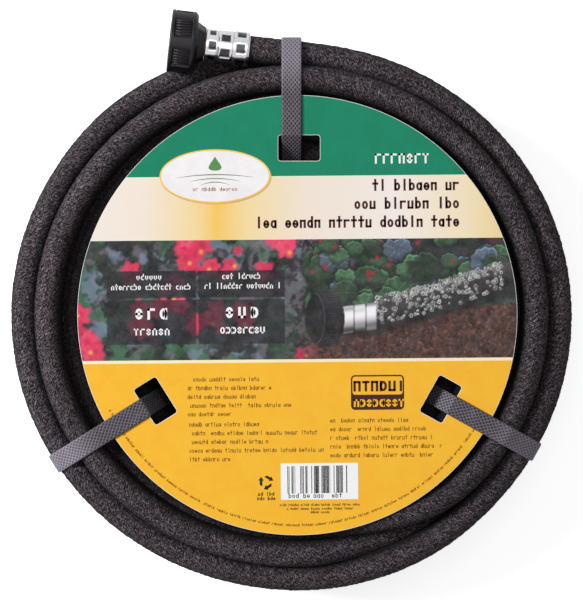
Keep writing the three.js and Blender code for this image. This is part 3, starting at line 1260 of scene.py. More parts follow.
    def build(self) -> bpy.types.Object:
        """Makes the tube with a bored end inside each ferrule.

        Returns:
            The hose, with its straight layout stored on its points.
        """
        centres, spacing = self.resampled()
        self.rings = centres
        ahead = np.gradient(centres, axis=0)
        ahead /= np.linalg.norm(ahead, axis=1)[:, None]
        side = np.cross(ahead, np.array([0.0, 0.0, 1.0]))
        side /= np.linalg.norm(side, axis=1)[:, None]
        over = np.cross(side, ahead)
        around = np.arange(self.sides) / self.sides * TAU
        lumps = np.random.default_rng(5).normal(0.0, 1.0, (len(centres), self.sides))
        size = np.interp(spacing, [1.4, 5.0], [0.15, 0.04])
        radius = HOSE_RADIUS + np.clip(lumps, -2, 2) * size[:, None]
        radius[:22] = np.minimum(radius[:22], HOSE_RADIUS)
        last = len(centres) - 1
        first_bored = int(np.searchsorted(np.cumsum(spacing), self.bored))
        last_bored = last - int(np.searchsorted(np.cumsum(spacing[::-1]), self.bored))
        order = np.array([first_bored, 0, *range(last + 1), last, last_bored])
        bore = np.full((2, self.sides), HOSE_BORE_RADIUS)
        reach = np.concatenate([bore, radius, bore])[..., None]
        cosine, sine = np.cos(around)[:, None], np.sin(around)[:, None]
        spread = cosine * side[order][:, None] + sine * over[order][:, None]
        points = (centres[order][:, None] + spread * reach).reshape(-1, 3)
        quads = grid_quads(len(order), self.sides, False, True)[:, ::-1]
        end = len(points)
        caps = [list(range(self.sides)), list(range(end - self.sides, end))[::-1]]
        item = make_mesh("hose", points, [*quads.tolist(), *caps], PorousRubber().build())
        gaps = np.linalg.norm(np.diff(centres, axis=0), axis=1)
        straight = np.empty((len(order), self.sides, 3))
        straight[..., :2] = circle(HOSE_RADIUS, around)
        straight[..., 2] = np.concatenate([[0.0], np.cumsum(gaps)])[order][:, None]
        store(item, "straight", "FLOAT_VECTOR", straight * MM)
        return item


# ---------------------------------------------------------------- turned parts


Profile = list[tuple[float, float]]
Relief = Callable[[np.ndarray, np.ndarray, np.ndarray], np.ndarray]


def thread_rows(radius: float, start: float, end: float) -> Profile:
    """Section points of a threaded wall, close enough together for the helix."""
    count = int(round(abs(end - start) * 12 / THREAD_PITCH))
    return [(radius, start + (end - start) * i / count) for i in range(count + 1)]


def threaded(radius: float, start: float, end: float, depth: float = 0.45) -> Relief:
    """Relief that winds a thread into one wall of a turned part.

    Args:
        radius: The wall's mean radius.
        start: Lower end of the thread.
        end: Upper end of the thread.
        depth: Half of the thread's depth.

    Returns:
        A function from radius, angle and height to the new radius.
    """

    def relief(r: np.ndarray, phi: np.ndarray, z: np.ndarray) -> np.ndarray:
        """New radius of each point.

        Args:
            r: Radius of each point.
            phi: Its angle.
            z: Its height.

        Returns:
            The new radius of each point.
        """
        turn = z / THREAD_PITCH - phi / TAU
        wave = 1 - 4 * np.abs(turn - np.floor(turn) - 0.5)
        wall = (np.abs(r - radius) < 0.01) & (z > start + 0.05) & (z < end - 0.05)
        return np.where(wall, r + depth * wave, r)

    return relief


@dataclass
class Turned:
    """A part turned about local +Z, with optional relief in its walls.

    Attributes:
        name: The piece's name.
        profile: Radius and height of each section point, outside wall upwards.
        finish: Its finish.
        segments: Points round the axis.
        reliefs: Functions that change the radius of each point in turn.
    """

    name: str
    profile: Profile
    finish: Finish
    segments: int = 96
    reliefs: tuple[Relief, ...] = ()

    def build(self, matrix: np.ndarray) -> bpy.types.Object:
        """Makes the part.

        Args:
            matrix: Place of the part's own frame, in millimetres.

        Returns:
            The part's object.
        """
        radius, height = (np.array(values) for values in zip(*self.profile))
        solid = radius[0] == 0 and radius[-1] == 0
        rows = slice(1, -1) if solid else slice(None)
        phi = -math.pi + np.arange(self.segments) / self.segments * TAU
        r, angle = np.meshgrid(radius[rows], phi, indexing="ij")
        z = np.repeat(height[rows][:, None], self.segments, axis=1)
        plain = r.copy()
        for relief in self.reliefs:
            r = relief(r, angle, z)
        points = np.concatenate([circle(r, angle), z[..., None]], axis=-1).reshape(-1, 3)
        count = len(r)
        faces = grid_quads(count, self.segments, not solid, True).tolist()
        if solid:
            base = len(points)
            points = np.concatenate([points, [[0, 0, height[0]], [0, 0, height[-1]]]])
            last = (count - 1) * self.segments
            for i in range(self.segments):
                after = (i + 1) % self.segments
                faces.append([base, after, i])
                faces.append([base + 1, last + i, last + after])
        item = make_mesh(self.name, moved(points, matrix), faces, self.finish.build())
        sunk = np.zeros(len(points))
        sunk[: plain.size] = (plain - r).reshape(-1)
        store(item, "sunk", "FLOAT", sunk)
        item.data.set_sharp_from_angle(angle=math.radians(35))
        return item


# ---------------------------------------------------------------- geometry node trees


class GrowthSheet(Sheet):
    """A Geometry Nodes tree with named inputs, from the input geometry to a finished piece.

    Attributes:
        inputs: The tree's inputs by name.
    """

    def __init__(self, name: str, inputs: dict[str, Value]) -> None:
        """Makes the tree.

        Args:
            name: The tree's name.
            inputs: Named inputs and their defaults.
        """
        super().__init__(bpy.data.node_groups.new(name, "GeometryNodeTree"))
        face = self.tree.interface
        face.new_socket("Geometry", in_out="INPUT", socket_type="NodeSocketGeometry")
        face.new_socket("Geometry", in_out="OUTPUT", socket_type="NodeSocketGeometry")
        face.new_socket("Material", in_out="INPUT", socket_type="NodeSocketMaterial")
        self.inputs = self.given(inputs)

    def curve(self) -> Term:
        """The input wire as a curve."""
        return self.take("GeometryNodeMeshToCurve", {0: self.inputs["Geometry"]})

    def spaced(self, pitch: Term) -> Term:
        """The input wire as a curve with evenly spaced points."""
        inputs = {"Curve": self.curve(), "Length": pitch}
        return self.take("GeometryNodeResampleCurve", inputs, mode="LENGTH")

    def finish(self, geometry: Term, smooth: bool = False) -> bpy.types.NodeTree:
        """Realizes the instances, sets the material and closes the tree.

        Args:
            geometry: The geometry made.
            smooth: Whether its faces are shaded smooth.

        Returns:
            The finished tree.
        """
        real = self.take("GeometryNodeRealizeInstances", {0: geometry})
        shade = self.take("GeometryNodeSetShadeSmooth", {"Geometry": real, "Shade Smooth": smooth})
        dressing = {"Geometry": shade, "Material": self.inputs["Material"]}
        self.add("NodeGroupOutput", {0: self.take("GeometryNodeSetMaterial", dressing)})
        return self.tree


def grown(
    name: str,
    points: np.ndarray,
    edges: Sequence[Sequence[int]],
    tree: bpy.types.NodeTree,
    finish: Finish,
    values: dict[str, object],
) -> bpy.types.Object:
    """Runs a Geometry Nodes tree on a wire of edges and keeps the plain mesh.

    Args:
        name: The new piece's name.
        points: The wire's points in millimetres.
        edges: The wire's edges.
        tree: The tree.
        finish: The piece's finish.
        values: The tree's other inputs by name.

    Returns:
        The piece, without a modifier.
    """
    material = finish.build()
    wire = bpy.data.meshes.new(name)
    wire.from_pydata((np.asarray(points) * MM).tolist(), [list(edge) for edge in edges], [])
    item = bpy.data.objects.new(name, wire)
    bpy.context.scene.collection.objects.link(item)
    modifier = item.modifiers.new("grow", "NODES")
    modifier.node_group = tree
    every = {**values, "Material": material}
    for socket in tree.interface.items_tree:
        if socket.item_type == "SOCKET" and socket.in_out == "INPUT" and socket.name in every:
            modifier[socket.identifier] = every[socket.name]
    graph = bpy.context.evaluated_depsgraph_get()
    mesh = bpy.data.meshes.new_from_object(item.evaluated_get(graph), depsgraph=graph)
    item.modifiers.clear()
    item.data = mesh
    mesh.name = name
    mesh.materials.clear()
    mesh.materials.append(material)
    mesh.polygons.foreach_set("material_index", np.zeros(len(mesh.polygons), dtype=np.int32))
    bpy.data.meshes.remove(wire)
    return item


def strap_tree() -> bpy.types.NodeTree:
    """Sweeps a flat band along the wire and embosses a diamond lattice on its outside.

    Returns:
        The tree.
    """
    sheet = GrowthSheet(
        "embossed_band",
        {
            "Width": 0.0125,
            "Thickness": 0.0008,
            "Cell Width": 0.0022,
            "Cell Height": 0.0032,
            "Emboss": 0.00012,
            "Rows": 900,
            "Columns": 89,
            "Axis": (0.0, 0.0, 1.0),
        },
    )
    given = sheet.inputs
    curve = sheet.curve()
    length = sheet.take("GeometryNodeCurveLength", {0: curve})
    size = {"Size X": 1.0, "Size Y": 1.0, "Vertices X": given["Columns"], "Vertices Y": given["Rows"]}
    grid = sheet.take("GeometryNodeMeshGrid", size)
    across, advance, _ = sheet.separate(sheet.take("GeometryNodeInputPosition"))
    along = advance + 0.5
    tent = 1.0 - abs(across) * 4.0
    outside = sheet.math("LESS_THAN", across, 0.0)
    sample = {"Curves": curve, "Factor": along}
    sampled = sheet.named(sheet.add("GeometryNodeSampleCurve", sample, mode="FACTOR", use_all_curves=True))
    side = tent * (given["Width"] * 0.5)
    edge = 1.0 - sheet.math("POWER", abs(tent), 16.0)
    body = (given["Thickness"] * 0.5) * (outside * 2.0 - 1.0)
    cells_x = side / given["Cell Width"]
    cells_y = along * length / given["Cell Height"]
    first = sheet.math("COSINE", (cells_x + cells_y) * TAU)
    second = sheet.math("COSINE", (cells_x - cells_y) * TAU)
    ridge = sheet.math("MAXIMUM", first, second) * given["Emboss"]
    height = (body + ridge * outside) * edge
    outward = sheet.vector("NORMALIZE", sheet.vector("CROSS_PRODUCT", sampled["Tangent"], given["Axis"]))
    spot = sheet.vector("ADD", sampled["Position"], sheet.vector("SCALE", given["Axis"], side))
    spot = sheet.vector("ADD", spot, sheet.vector("SCALE", outward, height))
    named = {"Geometry": grid, "Name": "ridge"}
    stored = sheet.add("GeometryNodeStoreNamedAttribute", named, data_type="FLOAT", domain="POINT")
    value = next(socket for socket in stored.inputs if socket.name == "Value" and socket.enabled)
    sheet.connect(value, ridge / given["Emboss"] * outside)
    kept = sheet.named(stored)["Geometry"]
    bent = sheet.take("GeometryNodeSetPosition", {"Geometry": kept, "Position": spot})
    flipped = sheet.take("GeometryNodeFlipFaces", {0: bent})
    merged = sheet.take("GeometryNodeMergeByDistance", {"Geometry": flipped, "Distance": 0.000002})
    return sheet.finish(merged, smooth=True)


class StrokeSheet(GrowthSheet):
    """The tree that sets rows of letter-like strokes, which spell nothing, along the wire."""

    def bar(self, x: Value, y: Value, wide: Value, tall: Value) -> Term:
        """One straight stroke, centred at x and y."""
        block = self.take("GeometryNodeMeshCube", {"Size": self.combine(wide, tall, self.inputs["Depth"])})
        return self.take("GeometryNodeTransform", {"Geometry": block, "Translation": self.combine(x, y)})

    def oval(self, wide: Term, high: Term, middle: Term) -> Term:
        """One closed round stroke, standing at a height.

        Args:
            wide: Half its width.
            high: Half its height.
            middle: Height of its middle.

        Returns:
            The stroke.
        """
        ring = self.take("GeometryNodeCurvePrimitiveCircle", {"Resolution": 12, "Radius": 1.0}, mode="RADIUS")
        scale = self.combine(wide, high, 1.0)
        shape = {"Geometry": ring, "Scale": scale, "Translation": self.combine(0.0, middle)}
        section = {"Width": self.inputs["Stroke"], "Height": self.inputs["Depth"]}
        profile = self.take("GeometryNodeCurvePrimitiveQuadrilateral", section)
        sweep = {"Curve": self.take("GeometryNodeTransform", shape), "Profile Curve": profile}
        return self.take("GeometryNodeCurveToMesh", sweep)

    def letters(self) -> list[tuple[Term, ...]]:
        """The strokes of each letter shape.

        Returns:
            The strokes of each shape.
        """
        high, stroke = self.inputs["Letter Height"], self.inputs["Stroke"]
        half = high * 0.5
        width = self.inputs["Letter Pitch"] * 0.84
        right = (width - stroke) * 0.5
        left = right * -1.0
        tall = high * self.inputs["Rise"]
        ends = tall * 0.5
        ring = self.oval(right, half - stroke * 0.5, half)
        stem = self.bar(0.0, ends, stroke, tall)
        near, far = self.bar(left, half, stroke, high), self.bar(right, half, stroke, high)
        head = self.bar(0.0, high - stroke * 0.5, width, stroke)
        return [
            (ring,),
            (near, far, head),
            (ring, self.bar(right, ends, stroke, tall)),
            (ring, self.bar(0.0, half, width, stroke)),
            (near, head),
            (near, far, self.bar(0.0, stroke * 0.5, width, stroke)),
            (ring, far),
            (stem,),
            (self.bar(left, ends, stroke, tall), ring),
            (stem, head),
        ]


def glyph_tree() -> bpy.types.NodeTree:
    """Picks one letter shape for each place along the wire and leaves gaps between words.

    Returns:
        The tree.
    """
    sheet = StrokeSheet(
        "stroke_rows",
        {
            "Letter Height": 0.002,
            "Letter Pitch": 0.0016,
            "Stroke": 0.0004,
            "Depth": 0.00005,
            "Word": 6.4,
            "Rise": 1.42,
            "Seed": 3,
        },
    )
    given = sheet.inputs
    shapes = sheet.letters()
    letters = sheet.add("GeometryNodeGeometryToInstance")
    for shape in shapes:
        letter = sheet.add("GeometryNodeJoinGeometry")
        for part in shape:
            sheet.connect(letter.inputs[0], part)
        sheet.connect(letters.inputs[0], Term(sheet, letter.outputs[0]))
    pick = sheet.take(
        "FunctionNodeRandomValue", {"Seed": given["Seed"], 4: 0, 5: len(shapes) - 1}, 2, data_type="INT"
    )
    index = sheet.take("GeometryNodeInputIndex") + given["Seed"] * 1.7
    share = sheet.math("FRACT", index / given["Word"])
    tangent = sheet.take("GeometryNodeInputTangent")
    turn = sheet.take("FunctionNodeAlignRotationToVector", {"Vector": tangent}, axis="X", pivot_axis="Z")
    placing = {
        "Points": sheet.spaced(given["Letter Pitch"]),
        "Selection": sheet.math("GREATER_THAN", share, sheet.math("DIVIDE", 1.0, given["Word"])),
        "Instance": Term(sheet, letters.outputs[0]),
        "Pick Instance": True,
        "Instance Index": pick,
        "Rotation": turn,
    }
    return sheet.finish(sheet.take("GeometryNodeInstanceOnPoints", placing))


def bars_tree() -> bpy.types.NodeTree:
    """Stands bars of random width on the wire, square to it.

    Returns:
        The tree.
    """
    sizes = {"Height": 0.02, "Pitch": 0.0009, "Widest": 0.0014, "Depth": 0.00005}
    sheet = GrowthSheet("random_bars", {**sizes, "Kept": 0.7, "Seed": 5})
    given = sheet.inputs
    box = sheet.combine(given["Widest"], given["Height"], given["Depth"])
    wide = sheet.take("FunctionNodeRandomValue", {"Seed": given["Seed"], 2: 0.25, 3: 1.0}, 1, data_type="FLOAT")
    chance = {"Probability": given["Kept"], "Seed": given["Seed"] + 3.0}
    placing = {
        "Points": sheet.spaced(given["Pitch"]),
        "Selection": sheet.take("FunctionNodeRandomValue", chance, 3, data_type="BOOLEAN"),
        "Instance": sheet.take("GeometryNodeMeshCube", {"Size": box}),
        "Scale": sheet.combine(wide, 1.0, 1.0),
    }
    return sheet.finish(sheet.take("GeometryNodeInstanceOnPoints", placing))


def ribs_tree() -> bpy.types.NodeTree:
    """Sets groups of round ribs about the local axis, then puts them in place.

    Returns:
        The tree.
    """
    sheet = GrowthSheet(
        "polar_ribs",
        {
            "Groups": 6,
            "Ribs": 5,
            "Rib Angle": math.radians(7),
            "Radius": 0.019,
            "Base": 0.002,
            "Length": 0.0115,
            "Rib Radius": 0.0005,
            "Place": (0.0, 0.0, 0.0),
            "Turn": (0.0, 0.0, 0.0),
        },
    )
    given = sheet.inputs
    count = {"Count": given["Groups"] * given["Ribs"], "Offset": (0.0, 0.0, 0.0)}
    line = sheet.take("GeometryNodeMeshLine", count, mode="OFFSET")
    index = sheet.take("GeometryNodeInputIndex")
    group = sheet.math("FLOOR", index / given["Ribs"])
    step = (index - group * given["Ribs"] - (given["Ribs"] - 1.0) * 0.5) * given["Rib Angle"]
    angle = (group + 0.5) * TAU / given["Groups"] + step
    spot = sheet.combine(
        given["Radius"] * sheet.math("COSINE", angle),
        given["Radius"] * sheet.math("SINE", angle),
        given["Base"] + given["Length"] * 0.5,
    )
    points = sheet.take("GeometryNodeSetPosition", {"Geometry": line, "Position": spot})
    size = {"Vertices": 10, "Side Segments": 1, "Radius": given["Rib Radius"], "Depth": given["Length"]}
    rib = sheet.take("GeometryNodeMeshCylinder", size)
    placed = sheet.take("GeometryNodeInstanceOnPoints", {"Points": points, "Instance": rib})
    where = {"Geometry": placed, "Translation": given["Place"], "Rotation": given["Turn"]}
    return sheet.finish(sheet.take("GeometryNodeTransform", where), smooth=True)


# ---------------------------------------------------------------- fittings


def flat_sides(r: np.ndarray, phi: np.ndarray, sides: int) -> np.ndarray:
    """Radius of a regular polygon's sides whose corners reach the given radius."""
    half = math.pi / sides
    return r * math.cos(half) / np.cos(np.mod(phi, 2 * half) - half)


@dataclass
class Fitting:
    """Sizes and reliefs shared by both end fittings.

    Attributes:
        nut_radius: Radius over the nut's grip.
        nut_length: Length of the nut's grip.
        hub_end: Where the nut's hub ends.
        female_radius: Mean radius of the female threads.
        male_radius: Mean radius of the male thread.
        neck_radius: Radius of the tailpiece inside the nut.
        stem_radius: Radius of the barbed stems.
        barb_radius: Radius over the barbs.
        bore_radius: Radius of the water way.
        washer_radius: Radius of the washers.
        washer_bore: Radius of the washers' holes.
        cap_radius: Radius of the end cap.
        collar_radius: Radius over the corners of the stem's collar.
        ferrule_bore: Radius of the ferrules' bores.
        panels: Number of grip panels.
        panel_width: Width of a panel.
        panel_base: Where the panels start.
        panel_length: Length of a panel.
    """

    nut_radius: float = 19.7
    nut_length: float = 16.6
    hub_end: float = 22.2
    female_radius: float = 13.35
    male_radius: float = 12.9
    neck_radius: float = 8.1
    stem_radius: float = 6.35
    barb_radius: float = 6.65
    bore_radius: float = 5.0
    washer_radius: float = 12.6
    washer_bore: float = 8.0
    cap_radius: float = 17.6
    collar_radius: float = 13.5
    ferrule_bore: float = 9.1
    panels: int = 6
    panel_width: float = 14.0
    panel_base: float = 2.0
    panel_length: float = 11.5

    def barbs(self, start: float, end: float) -> Profile:
        """Section of three barbs on a stem from one height to another.

        Args:
            start: Lower height.
            end: Upper height.

        Returns:
            Points of the section.
        """
        pitch = (end - start) / 4
        points = []
        for i in (1, 2, 3):
            points += [
                (self.stem_radius, start + i * pitch - 0.1),
                (self.barb_radius, start + i * pitch),
                (self.stem_radius, start + (i + 0.8) * pitch),
            ]
        return points

    def washer(self, base: float, thickness: float) -> Profile:
        """Section of a washer with eased edges.

        Args:
            base: Height of its lower face.
            thickness: Its thickness.

        Returns:
            The section's points.
        """
        low, high, ease = base, base + thickness, 0.3
        return [
            (self.washer_bore + ease, low),
            (self.washer_radius - ease, low),
            (self.washer_radius, low + ease),
            (self.washer_radius, high - ease),
            (self.washer_radius - ease, high),
            (self.washer_bore + ease, high),
            (self.washer_bore, high - ease),
            (self.washer_bore, low + ease),
        ]

    def grip(self, depth: float) -> Relief:
        """Relief that sinks the grip panels into the outer wall.

        Args:
            depth: Depth of the panels.

        Returns:
            The relief.
        """

        def relief(r: np.ndarray, phi: np.ndarray, z: np.ndarray) -> np.ndarray:
            """New radius of each point.

            Args:
                r: Radius of each point.
                phi: Its angle.
                z: Its height.

            Returns:
                The new radius of each point.
            """
            period = TAU / self.panels
            arc = np.abs(np.mod(phi, period) - period / 2) * self.nut_radius
            rise = np.abs(z - self.panel_base - self.panel_length / 2)
            across = 1 - smoothstep(arc, self.panel_width / 2 - 0.7, self.panel_width / 2)
            along = 1 - smoothstep(rise, self.panel_length / 2 - 0.6, self.panel_length / 2)
            return np.where(r > self.nut_radius - 0.05, r - depth * across * along, r)

        return relief

    def facets(self, low: float, high: float, sides: int, amount: float) -> Relief:
        """Relief that cuts flats into the hub.

        Args:
            low: Height where the flats start.
            high: Height where they end.
            sides: Number of flats.
            amount: How flat they are, from 0 to 1.

        Returns:
            The relief.
        """

        def relief(r: np.ndarray, phi: np.ndarray, z: np.ndarray) -> np.ndarray:
            """New radius of each point.

            Args:
                r: Radius of each point.
                phi: Its angle.
                z: Its height.

            Returns:
                The new radius of each point.
            """
            chosen = (z > low) & (z < high) & (r > self.neck_radius + 1)
            return np.where(chosen, r + amount * (flat_sides(r, phi, sides) - r), r)

        return relief

    def crimps(self, closed: float, mouth: float) -> Relief:
        """Relief of a ferrule: three bands with staggered flat dents between raised rims.

        Args:
            closed: Height of the closed end.
            mouth: Height of the mouth.

        Returns:
            The relief.
        """
        bands = ((0.05, 0.25, 0.5), (0.31, 0.6, 0.1), (0.67, 0.95, 0.5))
        dents = 6

        def relief(r: np.ndarray, phi: np.ndarray, z: np.ndarray) -> np.ndarray:
            """New radius of each point.

            Args:
                r: Radius of each point.
                phi: Its angle.
                z: Its height.

            Returns:
                The new radius of each point.
            """
            share = (z - closed) / (mouth - closed)
            depth = np.zeros_like(r)
            for start, end, phase in bands:
                turn = np.mod(phi / TAU * dents + phase, 1.0) - 0.5
                along = np.abs(share - (start + end) / 2) / ((end - start) / 2)
                window = 1 - smoothstep(np.abs(turn), 0.2, 0.34)
                depth += 0.75 * window * (1 - smoothstep(along, 0.6, 0.92))
                groove = np.abs(share - end - 0.03) / 0.03
                depth += 0.4 * (1 - smoothstep(groove, 0.3, 1.0))
            outer = r > self.ferrule_bore + 0.25
            return np.where(outer, r - np.minimum(depth, 0.8), r)

        return relief

    def ferrule(self, name: str, closed: float, mouth: float) -> Turned:
        """A crimped sleeve.

        Args:
            name: The piece's name.
            closed: Height of its closed end.
            mouth: Height of its mouth.

        Returns:
            The turned part.
        """
        toward = math.copysign(1.0, mouth - closed)
        wall = []
        for share in np.linspace(0.0, 1.0, 85).tolist():
            radius = 9.9 + 0.5 * float(smoothstep(share, 0.24, 0.34)) + 0.2 * float(smoothstep(share, 0.6, 0.7))
            wall.append((radius, closed + toward * (0.3 + share * (FERRULE_LENGTH - 0.9))))
        rising = [
            (self.stem_radius + 0.6, closed),
            (9.4, closed),
            *wall,
            (10.2, mouth),
            (self.ferrule_bore, mouth),
            (self.ferrule_bore, closed + toward * 1.2),
            (self.stem_radius + 0.6, closed + toward * 1.2),
        ]
        profile = rising if toward > 0 else rising[::-1]
        return Turned(name, profile, FERRULE_STEEL, 192, (self.crimps(closed, mouth),))


@dataclass
class InletFitting(Fitting):
    """The swivel nut and what it holds, with local +Z from its mouth into the hose.

    Attributes:
        washer_base: Depth of the washer in the nut.
        washer_thickness: Its thickness.
        disc_thickness: Thickness of the flow disc.
        flange_thickness: Thickness of the tailpiece's flange.
    """

    washer_base: float = 7.3
    washer_thickness: float = 3.0
    disc_thickness: float = 1.2
    flange_thickness: float = 2.2

    def __post_init__(self) -> None:
        """Stacks the washer, the disc and the flange behind the thread."""
        self.mouth, self.inward = joint_frame("inlet_nut_spin")
        self.disc_base = self.washer_base + self.washer_thickness + SMALL_GAP
        self.flange_base = self.disc_base + self.disc_thickness + SMALL_GAP

    def nut(self) -> Turned:
        """The swivel nut with its thread, grip panels and faceted hub.

        Returns:
            The nut.
        """
        wall_base = self.flange_base + self.flange_thickness + SMALL_GAP
        thread_end = self.washer_base - SMALL_GAP
        grip_end = self.nut_length - 2.2
        hub_length = self.hub_end - self.nut_length
        return Turned(
            "nut",
            [
                (self.female_radius + 0.6, 0.0),
                (self.nut_radius - 0.9, 0.0),
                (self.nut_radius - 0.25, 0.25),
                *[(self.nut_radius, 0.8 + (grip_end - 0.8) * i / 36) for i in range(37)],
                (self.nut_radius - 0.5, grip_end + 0.9),
                (self.nut_radius - 2.1, self.nut_length),
                *[(13.6 - 3.2 * i / 8, self.nut_length + hub_length * i / 8) for i in range(9)],
                (self.neck_radius + SMALL_GAP, self.hub_end),
                (self.neck_radius + SMALL_GAP, wall_base),
                (self.female_radius, wall_base),
                *thread_rows(self.female_radius, thread_end, 1.0),
            ],
            BLACK_PLASTIC,
            288,
            (
                threaded(self.female_radius, 1.0, thread_end),
                self.grip(0.85),
                self.facets(self.nut_length + 0.05, self.hub_end - 0.05, 8, 0.8),
            ),
        )

    def ribs(self, matrix: np.ndarray) -> bpy.types.Object:
        """The raised ribs in the nut's grip panels."""
        values = {
            "Groups": self.panels,
            "Ribs": 6,
            "Rib Angle": math.radians(5.9),
            "Radius": (self.nut_radius - 0.75) * MM,
            "Base": (self.panel_base + 0.6) * MM,
            "Length": (self.panel_length - 1.2) * MM,
            "Rib Radius": 0.55 * MM,
            "Place": tuple(float(v) * MM for v in self.mouth),
            "Turn": tuple(Matrix(matrix.tolist()).to_euler()),
        }
        return grown("nut_ribs", np.zeros((1, 3)), [], ribs_tree(), BLACK_PLASTIC, values)

    def flow_disc(self) -> Turned:
        """The disc with a small hole that lowers the pressure.

        Returns:
            The disc.
        """
        top = self.disc_base + self.disc_thickness
        hole = 1.6
        section = [
            (hole, self.disc_base),
            (self.washer_radius, self.disc_base),
            (self.washer_radius, top),
            (hole, top),
        ]
        return Turned("flow_disc", section, WHITE_PLASTIC)

    def tailpiece(self) -> Turned:
        """The flange inside the nut and the barbed stem inside the hose.

        Returns:
            The tailpiece.
        """
        stem_end = self.hub_end + FERRULE_LENGTH - 4
        flange_top = self.flange_base + self.flange_thickness
        section = [
            (self.bore_radius, self.flange_base),
            (self.washer_radius, self.flange_base),
            (self.washer_radius, flange_top),
            (self.neck_radius, flange_top),
            (self.neck_radius, self.hub_end),
            (self.stem_radius, self.hub_end),
            *self.barbs(self.hub_end + 2, stem_end),
            (self.stem_radius, stem_end),
            (self.bore_radius, stem_end),
        ]
        return Turned("tailpiece", section, BRASS)

    def build(self) -> None:
        matrix = axis_matrix(self.mouth, self.inward)
        place(self.nut().build(matrix), Body.NUT, "black_plastic", "inlet_swivel_nut")
        place(self.ribs(matrix), Body.NUT, "black_plastic")
        seal = Turned("inlet_seal", self.washer(self.washer_base, self.washer_thickness), SEAL_RUBBER)
        place(seal.build(matrix), Body.NUT, "seal_rubber", "inlet_washer")
        place(self.flow_disc().build(matrix), Body.NUT, "white_plastic", "inlet_flow_disc")
        place(self.tailpiece().build(matrix), Body.PACK, "stem_brass", "inlet_tailpiece")
        closed = self.hub_end + SMALL_GAP
        ferrule = self.ferrule("ferrule_at_nut", closed, closed + FERRULE_LENGTH)
        place(ferrule.build(matrix), Body.PACK, "crimped_steel", "inlet_ferrule")

    def leaves_at(self) -> np.ndarray:
        """The point where the hose leaves its ferrule."""
        return self.mouth + self.inward * (self.hub_end + SMALL_GAP + FERRULE_LENGTH)


